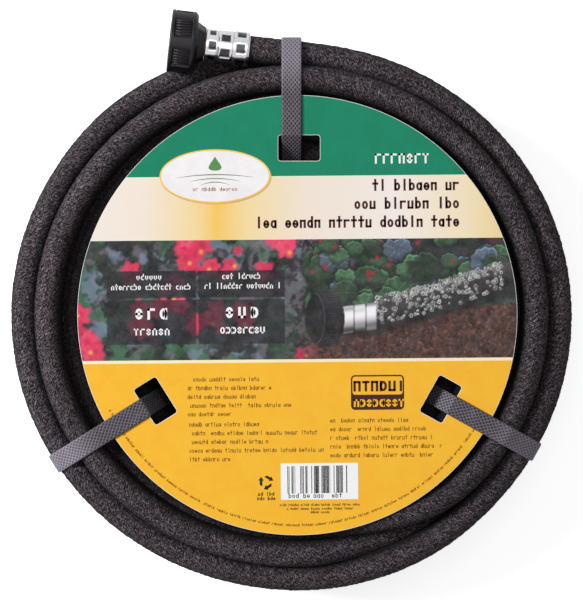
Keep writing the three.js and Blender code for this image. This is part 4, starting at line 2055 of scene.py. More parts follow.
@dataclass
class OutletFitting(Fitting):
    """The threaded stem and its cap, with local +Z from the hose out of its end.

    Attributes:
        washer_thickness: Thickness of the cap's washer.
        collar: Where the stem's collar starts.
    """

    washer_thickness: float = 2.2
    collar: float = FERRULE_LENGTH + SMALL_GAP

    def __post_init__(self) -> None:
        """Stacks the collar, the thread, the washer and the cap's floor."""
        self.collar_end = self.collar + 3.3
        self.stem_end = self.collar_end + 10.2
        self.rim = self.collar_end + SMALL_GAP
        self.thread_end = self.stem_end - 0.8
        self.washer_base = self.stem_end + SMALL_GAP
        self.floor = self.washer_base + self.washer_thickness + SMALL_GAP

    def stem(self) -> Turned:
        """The barbed stem with its six-sided collar and its thread.

        Returns:
            The stem.
        """
        rising = self.barbs(4, self.collar - 2)
        falling = [(radius, self.collar + 2 - height) for radius, height in reversed(rising)]
        return Turned(
            "threaded_stem",
            [
                (self.bore_radius, 4.0),
                (self.stem_radius, 4.0),
                *falling,
                (self.stem_radius, self.collar),
                (self.collar_radius, self.collar),
                (self.collar_radius, self.collar_end),
                *thread_rows(self.male_radius, self.collar_end, self.thread_end),
                (self.male_radius - 0.8, self.stem_end),
                (self.bore_radius, self.stem_end),
            ],
            BRASS,
            144,
            (threaded(self.male_radius, self.collar_end, self.thread_end), self.hexagon()),
        )

    def cap(self) -> Turned:
        """The closed cap with its thread and its grip flutes.

        Returns:
            The cap.
        """
        rim, floor = self.rim, self.floor
        end = floor + 2.5
        return Turned(
            "cap",
            [
                (0.0, floor),
                (self.female_radius, floor),
                *thread_rows(self.female_radius, self.thread_end, rim + 0.6),
                (self.female_radius + 0.6, rim),
                (self.cap_radius - 0.5, rim),
                *[(self.cap_radius, rim + 0.5 + (end - rim - 2.0) * i / 20) for i in range(21)],
                (self.cap_radius - 0.4, end - 0.6),
                (self.cap_radius - 1.5, end),
                (self.cap_radius - 3.6, end),
                (self.cap_radius - 4.2, end - 0.5),
                (0.0, end - 0.5),
            ],
            BLACK_PLASTIC,
            240,
            (threaded(self.female_radius, rim + 0.6, self.thread_end), self.flutes(rim + 1.5, end - 1.6)),
        )

    def build(self) -> list[bpy.types.Object]:
        """Returns:
            The pieces, which lie at the hose's far end.
        """
        matrix = axis_matrix(*joint_frame("cap_turn"))
        ferrule = self.ferrule("ferrule_at_cap", FERRULE_LENGTH, 0.0)
        seal = Turned("cap_seal", self.washer(self.washer_base, self.washer_thickness), SEAL_RUBBER)
        return [
            place(ferrule.build(matrix), Body.PACK, "crimped_steel", "outlet_ferrule"),
            place(self.stem().build(matrix), Body.PACK, "stem_brass", "outlet_stem"),
            place(self.cap().build(matrix), Body.CAP, "black_plastic", "outlet_end_cap"),
            place(seal.build(matrix), Body.CAP_WASHER, "seal_rubber", "outlet_cap_washer"),
        ]

    def hexagon(self) -> Relief:
        """Relief that makes the collar six-sided.

        Returns:
            The relief.
        """

        def relief(r: np.ndarray, phi: np.ndarray, z: np.ndarray) -> np.ndarray:
            """New radius of each point.

            Args:
                r: Radius of each point.
                phi: Its angle.
                z: Its height; not used.

            Returns:
                The new radius of each point.
            """
            chosen = np.abs(r - self.collar_radius) < 0.01
            return np.where(chosen, np.maximum(flat_sides(r, phi, 6), self.collar_radius - 1.2), r)

        return relief

    def flutes(self, low: float, high: float) -> Relief:
        """Relief that cuts grip flutes round the cap.

        Args:
            low: Height where the flutes start.
            high: Height where they end.

        Returns:
            The relief.
        """

        def relief(r: np.ndarray, phi: np.ndarray, z: np.ndarray) -> np.ndarray:
            """New radius of each point.

            Args:
                r: Radius of each point.
                phi: Its angle.
                z: Its height.

            Returns:
                The new radius of each point.
            """
            wave = 0.5 - 0.5 * np.cos(phi * 40)
            inside = smoothstep(z, low - 0.6, low) * (1 - smoothstep(z, high, high + 0.6))
            return np.where(r > self.cap_radius - 0.05, r - 0.5 * wave * inside, r)

        return relief


# ---------------------------------------------------------------- straps


@dataclass(frozen=True)
class Strap:
    """One band.

    Attributes:
        node: The CAD node that it stands for.
        angle: Its angle about the coil's axis, in degrees.
    """

    node: str
    angle: float


@dataclass
class Straps:
    """The three bands round the turns and through the card.

    Attributes:
        straps: The bands.
        width: Width of a band.
        thickness: Thickness of a band.
        emboss: Height of the diamond lattice.
        cell_height: Height of a diamond, before whole ones are fitted round the band.
        row_step: Step between rows of points along the band.
    """

    straps: tuple[Strap, ...] = (
        Strap("strap_top", 90.0),
        Strap("strap_left", 212.1),
        Strap("strap_right", 330.8),
    )
    width: float = 12.5
    thickness: float = 0.8
    emboss: float = 0.2
    cell_height: float = 3.0
    row_step: float = 0.34

    def hull(self, points: np.ndarray) -> np.ndarray:
        """Finds the convex hull of plane points.

        Args:
            points: The points.

        Returns:
            The hull's corners, counter-clockwise.
        """
        order = sorted({(round(float(x), 3), round(float(y), 3)) for x, y in points})

        def half(items: Iterable[tuple[float, float]]) -> list[tuple[float, float]]:
            """One side of the hull.

            Args:
                items: Points in order.

            Returns:
                Corners of that side.
            """
            kept: list[tuple[float, float]] = []
            for item in items:
                while len(kept) > 1:
                    (ax, ay), (bx, by) = kept[-2], kept[-1]
                    if (bx - ax) * (item[1] - ay) - (by - ay) * (item[0] - ax) > 1e-6:
                        break
                    kept.pop()
                kept.append(item)
            return kept[:-1]

        return np.array(half(order) + half(reversed(order)))

    def centre_line(self, outline: np.ndarray) -> np.ndarray:
        """Moves an outline in by half the thickness and rounds its corners.

        Args:
            outline: The band's outer outline.

        Returns:
            Closed centre line of the band.
        """
        line = outline
        edge = np.roll(line, -1, axis=0) - line
        normal = np.stack([edge[:, 1], -edge[:, 0]], axis=-1)
        normal /= np.linalg.norm(normal, axis=1)[:, None]
        before = np.roll(normal, 1, axis=0)
        corner = normal + before
        corner /= (1 + (normal * before).sum(axis=1))[:, None]
        line = line - corner * self.thickness / 2
        for _ in range(3):
            after = np.roll(line, -1, axis=0)
            line = np.stack([0.75 * line + 0.25 * after, 0.25 * line + 0.75 * after], axis=1).reshape(-1, 2)
        return line

    def build(self) -> None:
        """Makes every band from its CAD node's outline."""
        tree = strap_tree()
        for strap in self.straps:
            turn = math.radians(strap.angle)
            outward = np.array([math.cos(turn), math.sin(turn), 0.0])
            axis = np.array([math.sin(turn), -math.cos(turn), 0.0])
            mesh = bpy.data.objects[strap.node].data
            cad = np.array([vertex.co for vertex in mesh.vertices]) / MM - [0.0, COIL_AXIS_Y, 0.0]
            middle = (cad @ axis).mean()
            line = self.centre_line(self.hull(np.stack([cad @ outward, cad[:, 2]], axis=-1)))
            points = line[:, :1] * outward + line[:, 1:] * [0.0, 0.0, 1.0] + middle * axis
            points += [0.0, COIL_AXIS_Y, 0.0]
            count = len(points)
            length = np.linalg.norm(points - np.roll(points, 1, axis=0), axis=1).sum()
            cell = length / round(length / self.cell_height)
            values = {
                "Width": self.width * MM,
                "Thickness": self.thickness * MM,
                "Cell Width": self.width / 5 * MM,
                "Cell Height": cell * MM,
                "Emboss": self.emboss * MM,
                "Rows": int(length / self.row_step),
                "Columns": 89,
                "Axis": tuple(axis),
            }
            edges = [(i, (i + 1) % count) for i in range(count)]
            band = grown(strap.node.replace("strap", "band"), points, edges, tree, STRAP_PLASTIC, values)
            place(band, Body.PACK, "strap_plastic", strap.node)


# ---------------------------------------------------------------- card


def noise(x: np.ndarray, y: np.ndarray, seed: int) -> np.ndarray:
    """Smooth value noise from 0 to 1 on the plane.

    Args:
        x: First coordinate, in cells.
        y: Second coordinate, in cells.
        seed: Seed of the lattice.

    Returns:
        The noise at each point.
    """
    lattice = np.random.default_rng(seed).random((256, 256))
    column, row = np.floor(x).astype(int), np.floor(y).astype(int)
    u, v = smoothstep(x - column, 0, 1), smoothstep(y - row, 0, 1)

    def corner(i: int, j: int) -> np.ndarray:
        """Lattice value at one corner of each cell."""
        return lattice[(row + j) % 256, (column + i) % 256]

    low = corner(0, 0) * (1 - u) + corner(1, 0) * u
    high = corner(0, 1) * (1 - u) + corner(1, 1) * u
    return low * (1 - v) + high * v


def layered_noise(x: np.ndarray, y: np.ndarray, size: float, seed: int, layers: int = 3) -> np.ndarray:
    """Sum of noises from 0 to 1, each half the size and strength of the one before."""
    total = sum(noise(x / size * 2**i, y / size * 2**i, seed + i) / 2**i for i in range(layers))
    return total / (2 - 2 ** (1 - layers))


class GardenPicture:
    """Paints the card's picture: a wet hose on soil in front of leaves and blurred flowers."""

    def __init__(self, u: np.ndarray, v: np.ndarray) -> None:
        """Starts from the points of the picture, in millimetres in the card's own directions.

        Args:
            u: Distance across the card.
            v: Distance up the card.
        """
        self.u = u
        self.v = v
        self.colour = np.zeros((len(u), 3))

    def blend(self, colour: Sequence[float] | np.ndarray, mask: np.ndarray) -> None:
        """Lays a colour over the picture where the mask says."""
        mask = np.clip(mask, 0, 1)[:, None]
        self.colour = self.colour * (1 - mask) + np.asarray(colour, dtype=float) * mask

    def disc(self, x: float, y: float, size: float, soft: float, stretch: float = 1.0) -> np.ndarray:
        """Mask of a soft-edged oval."""
        distance = np.hypot((self.u - x) / stretch, self.v - y)
        return 1 - smoothstep(distance, size - soft, size + soft)

    def mottled(self, size: float, seed: int, low: float, high: float) -> np.ndarray:
        """Mask of soft patches, on warped and turned coordinates so that no lattice shows.

        Args:
            size: Size of the patches.
            seed: Seed of the noise.
            low: Noise where the mask starts.
            high: Noise where it is full.

        Returns:
            The mask from 0 to 1.
        """
        u = 0.84 * self.u - 0.54 * self.v + 7 * (layered_noise(self.u, self.v, 10, seed + 40) - 0.5)
        v = 0.54 * self.u + 0.84 * self.v + 7 * (layered_noise(self.v, self.u, 10, seed + 60) - 0.5)
        return smoothstep(layered_noise(u + 300, v + 300, size, seed), low, high)

    def background(self) -> None:
        """Paints blurred foliage, stems and litter."""
        u, v = self.u, self.v
        self.blend((40, 48, 46), np.ones_like(u))
        self.blend((46, 76, 56), self.mottled(17, 3, 0.4, 0.62))
        self.blend((112, 104, 116), self.mottled(7, 9, 0.5, 0.66) * 0.75)
        self.blend((60, 116, 80), self.mottled(12, 31, 0.56, 0.7) * 0.7)
        self.blend((120, 136, 160), self.mottled(8, 57, 0.58, 0.72) * 0.7)
        self.blend((14, 16, 19), self.mottled(8, 77, 0.53, 0.66) * 0.85)
        for start, slope, wide, tone in ((-52, -0.35, 4, 0.8), (-22, 0.25, 6, 0.75), (-8, -0.5, 3, 0.5)):
            slant = np.abs(u - start - slope * v) + 9 * self.mottled(5, 12, 0.35, 0.7)
            lit = (1 - smoothstep(slant, wide, wide + 7)) * smoothstep(v, -18, 16)
            self.blend((132, 118, 128), lit * tone)
        litter = smoothstep(u, -10, 4) * (1 - smoothstep(u, 24, 44))
        self.blend((104, 88, 100), litter * self.mottled(2.6, 44, 0.5, 0.62) * 0.8)
        self.blend((34, 28, 34), litter * self.mottled(2.2, 45, 0.52, 0.62) * 0.8)

    def flowers(self) -> None:
        """Paints the blurred flowers."""
        random = np.random.default_rng(4)
        groups = [
            *((-57, 31, 14, 9), (-64, 24, 9, 5), (-8, 35, 10, 6), (-36, 22, 9, 4)),
            *((-52, 20, 7, 3), (-2, 30, 6, 3), (-126, -31, 11, 8), (-134, -8, 8, 5)),
            *((-94, -10, 16, 8), (-50, -14, 12, 5), (8, -34, 7, 2), (-18, 16, 4, 2)),
            *((127, 34, 4, 2), (-100, 12, 9, 4), (-30, -14, 6, 2), (-74, 2, 12, 5)),
        ]
        for x, y, spread, count in groups:
            for _ in range(count):
                dx, dy = random.normal(0, spread * 0.4, 2)
                size = random.uniform(2.8, 6.4)
                tone = random.uniform(0, 1)
                colour = np.array([216, 34, 78]) * (1 - tone) + np.array([248, 84, 120]) * tone
                petals = 1 + 0.22 * np.cos(5 * np.arctan2(self.v - y - dy, self.u - x - dx) + tone * 6)
                distance = np.hypot(self.u - x - dx, self.v - y - dy) / petals
                self.blend(colour, (1 - smoothstep(distance, size - 1.6, size + 1.2)) * 0.9)
                self.blend((150, 14, 48), (1 - smoothstep(distance, 0.2, size * 0.6)) * 0.35)
            self.blend((250, 190, 70), self.disc(x + 1, y - 1, 1.3, 0.9) * 0.8)

    def leaves(self) -> None:
        """Paints the sharp leaves behind the hose."""
        random = np.random.default_rng(21)
        shade = 0.75 + 0.5 * layered_noise(self.u, self.v, 4, 210)[:, None]
        self.blend((20, 24, 24), smoothstep(self.u, 26, 40) * smoothstep(self.v, -8, 4) * 0.8)
        for number in range(70):
            x, y = random.uniform(16, 132), random.uniform(-12, 37)
            if y < -9 + (x - 30) * 0.12:
                y = -y * 0.6 + 12
            size = random.uniform(4.2, 9.4)
            blue = number % 5 == 0
            base = np.array([84, 98, 116]) if blue else np.array([46, 72, 50]) * random.uniform(0.6, 1.5)
            turn = np.arctan2(self.v - y, self.u - x)
            facing = random.uniform(-math.pi, math.pi)
            notch = 1 - 0.3 * smoothstep(np.cos(turn - facing), 0.86, 1.0) + 0.05 * np.cos(11 * turn)
            distance = np.hypot((self.u - x) / random.uniform(0.9, 1.3), self.v - y) / size / notch
            mask = 1 - smoothstep(distance, 0.94, 1.02)
            self.blend((10, 14, 13), (1 - smoothstep(distance, 0.95, 1.3)) * 0.6)
            self.blend(base * shade, mask)
            veins = smoothstep(np.cos((turn - facing) * 6), 0.93, 1.0) * (1 - 0.7 * distance)
            self.blend(base * 1.7 + 8, mask * veins * 0.8)
            edge = smoothstep(distance, 0.78, 0.97)
            self.blend(base * 1.5 + 34, mask * edge * smoothstep(np.sin(turn), 0.1, 1) * 0.75)
            below = smoothstep(distance, 0.4, 1.0) * smoothstep(-np.sin(turn), 0, 1)
            self.blend(base * 0.4, mask * below * 0.8)
        for _ in range(16):
            x, y = random.uniform(10, 120), random.uniform(4, 37)
            self.blend((170, 26, 44), self.disc(x, y, random.uniform(0.6, 1.7), 0.5) * 0.8)

    def soil(self) -> None:
        """Paints the soil under the hose."""
        u, v = self.u, self.v
        edge = -12 + 0.10 * (u - 40) + 5 * (layered_noise(u, v, 14, 90) - 0.5)
        ground = (1 - smoothstep(v, edge - 2, edge + 2)) * smoothstep(u, 2, 20)
        shade = 0.5 + 0.75 * layered_noise(u, v, 2.4, 120, 3)[:, None]
        self.blend(np.array([88, 54, 46]) * shade, ground)
        self.blend((148, 108, 92), ground * self.mottled(1.3, 140, 0.62, 0.74) * 0.6)
        self.blend((24, 14, 15), ground * self.mottled(1.6, 150, 0.56, 0.68) * 0.7)

    def wet_hose(self) -> None:
        """Paints the hose, its drops, the ferrule and the nut."""
        u, v = self.u, self.v
        across = v - (-9.5 + 0.235 * (u - 50) + 0.0005 * (u - 50) ** 2)
        body = (1 - smoothstep(np.abs(across), 8.0, 8.6)) * smoothstep(u, 49, 51)
        self.blend((12, 8, 9), (1 - smoothstep(np.abs(across + 8), 3, 7)) * smoothstep(u, 20, 52) * 0.75)
        light = 0.45 + 0.55 * across[:, None] / 9 + 0.9 * (layered_noise(u, v, 1.4, 230)[:, None] - 0.5)
        self.blend(np.array([50, 45, 49])[None] * (0.5 + light), body)
        random = np.random.default_rng(8)
        for _ in range(330):
            x = random.uniform(51, 131)
            lift = random.choice([random.uniform(-8, 9.6), random.uniform(4, 9.8)])
            y = -9.5 + 0.235 * (x - 50) + 0.0005 * (x - 50) ** 2 + lift
            size = random.uniform(0.5, 1.25)
            near = np.nonzero((np.abs(u - x) < 3) & (np.abs(v - y) < 3))[0]
            distance = np.hypot(u[near] - x, v[near] - y)
            rim = (1 - smoothstep(distance, size, size + 0.35))[:, None]
            tone = random.uniform(120, 240)
            lit = smoothstep(distance / size, 0.5, 0.85)[:, None]
            drop = 44 * (1 - lit) + tone * lit
            self.colour[near] = self.colour[near] * (1 - 0.85 * rim) + drop * 0.85 * rim
            glint = (1 - smoothstep(np.hypot(u[near] - x + 0.2, v[near] - y - 0.2), 0.12, 0.42))[:, None]
            self.colour[near] = self.colour[near] * (1 - glint) + 250 * glint
        middle = -12.0 + 0.12 * (u - 42)
        across = (v - middle) / 8.6
        sleeve = (1 - smoothstep(np.abs(across), 0.94, 1.02)) * smoothstep(u, 31, 32)
        sleeve *= 1 - smoothstep(u, 52, 53.5)
        facet = 0.5 + 0.5 * np.cos(across * 9 + np.floor((u - 31) / 7.3) * 2.1)
        seam = 1 - smoothstep(np.abs(np.mod(u - 31, 7.3) - 0.5), 0.3, 0.8)
        edges = facet * smoothstep(np.abs(across), 0.1, 0.9)
        steel = 196 + 70 * np.cos((across - 0.4) * 2.4) - 70 * edges - 70 * seam
        self.blend(np.clip(steel, 36, 252)[:, None] * np.array([1.0, 0.99, 1.01]), sleeve)
        oval = np.hypot((u - 20.5) / 12.6, (v + 12.2) / 18.0)
        nut = 1 - smoothstep(oval, 0.97, 1.0)
        ribs = smoothstep(np.cos((v + 12) * 4.2), 0.2, 0.9)
        grip = smoothstep(u, 19, 21) * (1 - smoothstep(u, 28.5, 30))
        grip *= smoothstep(np.cos((v + 12) * 0.5), -0.2, 0.1)
        tone = 13 + 24 * ribs * grip + 30 * smoothstep(u, 10, 30) * smoothstep(v, -16, 5)
        self.blend(np.stack([tone, tone * 0.92, tone * 1.15], axis=-1), nut)
        face = np.hypot((u - 14.2) / 6.2, (v + 12.2) / 16.0)
        self.blend((16, 13, 18), nut * (1 - smoothstep(face, 0.95, 1.0)))
        self.blend((92, 86, 98), nut * (1 - smoothstep(np.abs(face - 1.0), 0.02, 0.06)) * 0.7)

    def boxes(self) -> None:
        """Lays the two dark translucent boxes and the thin line between them over the picture."""
        u, v = self.u, self.v
        for left, right in ((-114.7, -59.3), (-57.8, -4.1)):
            wide = smoothstep(u, left - 0.3, left + 0.3) * (1 - smoothstep(u, right - 0.3, right + 0.3))
            for low, high, strength in ((1.6, 18.3, 0.78), (-27.3, 0.2, 0.62)):
                mask = wide * smoothstep(v, low - 0.3, low + 0.3) * (1 - smoothstep(v, high - 0.3, high + 0.3))
                self.blend((14, 10, 20), mask * strength)

    def paint(self) -> np.ndarray:
        """Paints every layer.

        Returns:
            Linear colours with alpha, one for each point.
        """
        for layer in (self.background, self.flowers, self.leaves, self.soil, self.wet_hose, self.boxes):
            layer()
        return np.column_stack([to_linear(self.colour), np.ones(len(self.colour))])


def inside(points: np.ndarray, outline: np.ndarray) -> np.ndarray:
    """Tells which plane points lie inside an outline.

    Args:
        points: The points.
        outline: The outline's corners.

    Returns:
        True for each point inside.
    """
    x, y = points[:, :1], points[:, 1:2]
    after = np.roll(outline, -1, axis=0)
    crosses = (outline[:, 1] > y) != (after[:, 1] > y)
    share = (y - outline[:, 1]) / np.where(after[:, 1] == outline[:, 1], 1e-9, after[:, 1] - outline[:, 1])
    at = outline[:, 0] + share * (after[:, 0] - outline[:, 0])
    return (crosses & (x < at)).sum(axis=1) % 2 == 1


@dataclass(frozen=True)
class Lettering:
    """Sizes of one kind of stroke row.

    Attributes:
        height: Letter height.
        stroke: Stroke width.
        seed: Seed of the strokes.
        pitch: Letter pitch over letter height.
        word: Letters from one gap to the next.
        rise: Height of the tall letters over the letter height.
    """

    height: float
    stroke: float
    seed: int
    pitch: float = 0.92
    word: float = 6.4
    rise: float = 1.42


@dataclass
class Card:
    """The round printed card: a white board and its inks, each a thin closed piece on the one below.

    Attributes:
        centre: The card's centre.
        radius: Its radius.
        tilt: Turn of the print on the card, in degrees.
        rim: Width of the bare edge.
        slots: Angle about the coil's axis, distance and sideways shift of each strap slot.
        slot_size: Size of a slot along and across its angle.
        slot_corner: Radius of its corners.
        lift: Gap between the board and the first ink.
        film: Step from one ink to the next.
        ink_depth: Thickness of an ink.
        green_edge: Lower edge of the green print.
        pale_edge: Lower edge of the pale line under it.
        cream_edge: Lower edge of the cream print.
        picture_edge: Lower edge of the picture.
        stripe_edge: Lower edge of the stripe under the picture.
        emblem_centre: Centre of the plaque.
        glyphs: The stroke tree, made on first use.
    """

    centre: tuple[float, float] = (3.6, -9.8)
    radius: float = 136.6
    tilt: float = 0.5
    rim: float = 0.28
    slots: tuple[tuple[float, float, float], ...] = (
        (90.0, 104.1, -4.7),
        (212.1, 99.7, 0.0),
        (330.8, 106.2, 0.0),
    )
    slot_size: tuple[float, float] = (16.0, 26.0)
    slot_corner: float = 1.6
    lift: float = 0.01
    film: float = 0.05
    ink_depth: float = 0.045
    green_edge: float = 76.6
    pale_edge: float = 75.9
    cream_edge: float = 37.2
    picture_edge: float = -37.2
    stripe_edge: float = -39.1
    emblem_centre: tuple[float, float] = (-46.8, 76.9)
    glyphs: bpy.types.NodeTree | None = None

    def __post_init__(self) -> None:
        """Finds the card's faces and the print's directions."""
        low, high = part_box("label_card")
        self.bottom, self.top = low[2] / MM, high[2] / MM
        turn = math.radians(self.tilt)
        self.across = np.array([math.cos(turn), math.sin(turn)])
        self.up = np.array([-math.sin(turn), math.cos(turn)])
        self.centre_u = float(self.across @ self.centre)
        self.centre_v = float(self.up @ self.centre)

    def to_plane(self, points: np.ndarray) -> np.ndarray:
        """Turns print coordinates into the pack's X and Y."""
        points = np.asarray(points, dtype=float)
        return points[:, :1] * self.across + points[:, 1:2] * self.up

    def height_of(self, layer: float) -> float:
        """Height of the middle of an ink on one layer."""
        return self.top + self.lift + (layer + 0.45) * self.film

    def slot_outline(self, index: int, grow: float) -> np.ndarray:
        """Outline of a slot.

        Args:
            index: Which slot.
            grow: Margin round it.

        Returns:
            Points in the pack's X and Y.
        """
        angle, distance, shift = self.slots[index]
        half = np.array(self.slot_size) / 2 - self.slot_corner
        corner = self.slot_corner + grow
        points = []
        for quarter, signs in enumerate(((1, 1), (-1, 1), (-1, -1), (1, -1))):
            turns = (quarter + np.arange(5) / 4) * math.pi / 2
            points.append(circle(corner, turns, half * signs))
        local = np.concatenate(points) + [distance, shift]
        turn = math.radians(angle)
        spin = np.array([[math.cos(turn), math.sin(turn)], [-math.sin(turn), math.cos(turn)]])
        return local @ spin + [0.0, COIL_AXIS_Y]

    def band(self, low: float, high: float, steps: int = 120) -> np.ndarray:
        """Outline of the part of the print between two heights.

        Args:
            low: Lower height.
            high: Upper height.
            steps: Points on each side.

        Returns:
            Points in the pack's X and Y.
        """
        radius = self.radius - self.rim
        low = max(low, self.centre_v - radius)
        high = min(high, self.centre_v + radius)
        start, end = (math.asin((value - self.centre_v) / radius) for value in (low, high))
        right = circle(radius, np.linspace(start, end, steps), (self.centre_u, self.centre_v))
        left = right[::-1] * [-1, 1] + [2 * self.centre_u, 0]
        outline = np.concatenate([right, left])
        apart = np.linalg.norm(outline - np.roll(outline, 1, axis=0), axis=1)
        return self.to_plane(outline[apart > 1e-6])

    def prism(
        self,
        name: str,
        outlines: Sequence[np.ndarray],
        finish: Finish,
        layer: float,
        holes: Sequence[np.ndarray] = (),
        depth: float | None = None,
    ) -> bpy.types.Object:
        """Makes closed flat solids from outlines, on one layer of the print.

        Args:
            name: The piece's name.
            outlines: Outer outlines, counter-clockwise, each a separate solid.
            finish: The ink.
            layer: Which layer it lies on.
            holes: Holes of the first outline.
            depth: Thickness, if not one ink's.

        Returns:
            The piece.
        """
        base = self.top + self.lift + layer * self.film
        height = base + (depth or self.ink_depth)
        points: list[np.ndarray] = []
        faces: list[list[int]] = []
        for number, outline in enumerate(outlines):
            flat, triangles = self.filled(outline, holes if number == 0 else ())
            offset = sum(len(item) for item in points)
            count = len(flat)
            points += [np.column_stack([flat, np.full(count, z)]) for z in (base, height)]
            faces += (triangles[:, ::-1] + offset).tolist()
            faces += (triangles + offset + count).tolist()
            sides = {(int(t[i]), int(t[(i + 1) % 3])) for t in triangles for i in range(3)}
            for i, j in sides:
                if (j, i) not in sides:
                    faces.append([offset + i, offset + j, offset + count + j, offset + count + i])
        item = make_mesh(name, np.concatenate(points), faces, finish.build(), smooth=False)
        return place(item, Body.PACK, "printed_card")

    def filled(self, outline: np.ndarray, holes: Sequence[np.ndarray]) -> tuple[np.ndarray, np.ndarray]:
        """Fills an outline with triangles.

        Args:
            outline: The outline.
            holes: Outlines left open in it.

        Returns:
            Points, and triangles that run counter-clockwise.
        """
        edges, begin = [], 0
        for loop in (outline, *holes):
            count = len(loop)
            edges += [(begin + i, begin + (i + 1) % count) for i in range(count)]
            begin += count
        corners = [Vector(point) for point in np.concatenate([outline, *holes])]
        found = delaunay_2d_cdt(corners, edges, [], 1, 1e-6)
        flat = np.array([tuple(point) for point in found[0]])
        triangles = np.array(found[2])
        for hole in holes:
            triangles = triangles[~inside(flat[triangles].mean(axis=1), hole)]
        a, b, c = (flat[triangles[:, i]] for i in range(3))
        turn = (b[:, 0] - a[:, 0]) * (c[:, 1] - a[:, 1]) - (b[:, 1] - a[:, 1]) * (c[:, 0] - a[:, 0])
        triangles[turn < 0] = triangles[turn < 0][:, ::-1]
        return flat, triangles

    def rounded(self, left: float, right: float, low: float, high: float, corner: float) -> np.ndarray:
        """A rounded rectangle of the print.

        Args:
            left: Left edge.
            right: Right edge.
            low: Lower edge.
            high: Upper edge.
            corner: Radius of the corners.

        Returns:
            Points in the pack's X and Y.
        """
        centres = (
            (right - corner, high - corner),
            (left + corner, high - corner),
            (left + corner, low + corner),
            (right - corner, low + corner),
        )
        turns = np.arange(4) / 3 * math.pi / 2
        arcs = [circle(corner, turns + i * math.pi / 2, centre) for i, centre in enumerate(centres)]
        return self.to_plane(np.concatenate(arcs))

    def oval(self, x: float, y: float, wide: float, high: float) -> np.ndarray:
        """An oval of the print, in the pack's X and Y."""
        turns = np.arange(72) / 72 * TAU
        return self.to_plane(circle(1.0, turns) * [wide, high] + [x, y])

    def picture(self) -> None:
        """Makes the picture as a fine closed sheet with painted points."""
        step = 0.53
        low, high = self.picture_edge, self.cream_edge
        rows = int((high - low) / step) + 1
        columns = int(2 * self.radius / step)
        v = np.linspace(low, high, rows)[:, None]
        half = np.sqrt((self.radius - self.rim) ** 2 - (v - self.centre_v) ** 2)
        u = self.centre_u + half * np.linspace(-1, 1, columns)[None, :]
        v = np.broadcast_to(v, u.shape)
        flat = self.to_plane(np.stack([u.reshape(-1), v.reshape(-1)], axis=-1))
        base = self.top + self.lift
        grid = np.arange(rows * columns).reshape(rows, columns)
        border = np.concatenate([grid[0, :-1], grid[:-1, -1], grid[-1, :0:-1], grid[:0:-1, 0]])
        top = np.column_stack([flat, np.full(len(flat), base + self.ink_depth)])
        under = np.column_stack([flat[border], np.full(len(border), base)])
        below = len(top) + np.arange(len(border))
        walls = np.column_stack([np.roll(border, -1), border, below, np.roll(below, -1)])
        faces = [*grid_quads(rows, columns, False, False).tolist(), below[::-1].tolist(), *walls.tolist()]
        points = np.concatenate([top, under])
        item = make_mesh("picture_print", points, faces, PICTURE_PRINT.build(), smooth=False)
        colours = GardenPicture(u.reshape(-1), v.reshape(-1)).paint()
        store(item, "tint", "FLOAT_COLOR", np.concatenate([colours, colours[border]]))
        place(item, Body.PACK, "printed_card")

    def printed(
        self,
        name: str,
        points: np.ndarray,
        edges: Sequence[tuple[int, int]],
        ink: Ink,
        lettering: Lettering,
    ) -> None:
        """Prints strokes that spell nothing along wires.

        Args:
            name: The piece's name.
            points: Points of the wires.
            edges: Their edges.
            ink: The ink.
            lettering: Sizes of the strokes.
        """
        self.glyphs = self.glyphs or glyph_tree()
        values = {
            "Letter Height": lettering.height * MM,
            "Letter Pitch": lettering.height * lettering.pitch * MM,
            "Stroke": lettering.stroke * MM,
            "Depth": self.ink_depth * MM,
            "Word": lettering.word,
            "Rise": lettering.rise,
            "Seed": lettering.seed,
        }
        place(grown(name, points, edges, self.glyphs, ink.finish, values), Body.PACK, "printed_card")

    def rows(
        self,
        name: str,
        lines: Sequence[tuple[float, float, float]],
        ink: Ink,
        layer: float,
        lettering: Lettering,
    ) -> None:
        """Prints straight rows of strokes.

        Args:
            name: The piece's name.
            lines: Left end, right end and foot of each row.
            ink: The ink.
            layer: Layer of the print.
            lettering: Sizes of the strokes.
        """
        ends = [(x, foot) for left, right, foot in lines for x in (left, right)]
        flat = self.to_plane(np.array(ends))
        points = np.column_stack([flat, np.full(len(flat), self.height_of(layer))])
        self.printed(name, points, [(i, i + 1) for i in range(0, len(points), 2)], ink, lettering)

    def board(self) -> None:
        """Makes the white board with its three slots."""
        outline = circle(self.radius, np.arange(256) / 256 * TAU, self.centre)
        holes = [self.slot_outline(i, 0.0) for i in range(3)]
        depth = self.top - self.bottom
        item = self.prism("card", [outline], CARD_BOARD, -(depth + self.lift) / self.film, holes, depth)
        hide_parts("label_card")

    def inks(self) -> None:
        """Prints the flat colours."""
        full = 2 * self.radius
        green_slot, *yellow_slots = (self.slot_outline(i, self.rim) for i in range(3))
        bands = (
            ("green_print", self.green_edge, full, Ink.GREEN.finish, [green_slot]),
            ("line_print", self.pale_edge, self.green_edge, Ink.PALE_LINE.finish, []),
            ("cream_print", self.cream_edge, self.pale_edge, CREAM_PRINT, []),
            ("stripe_print", self.stripe_edge, self.picture_edge, Ink.CREAM_LINE.finish, []),
            ("yellow_print", -full, self.stripe_edge, Ink.YELLOW.finish, yellow_slots),
        )
        for name, low, high, finish, slots in bands:
            self.prism(name, [self.band(low, high)], finish, 0, slots)

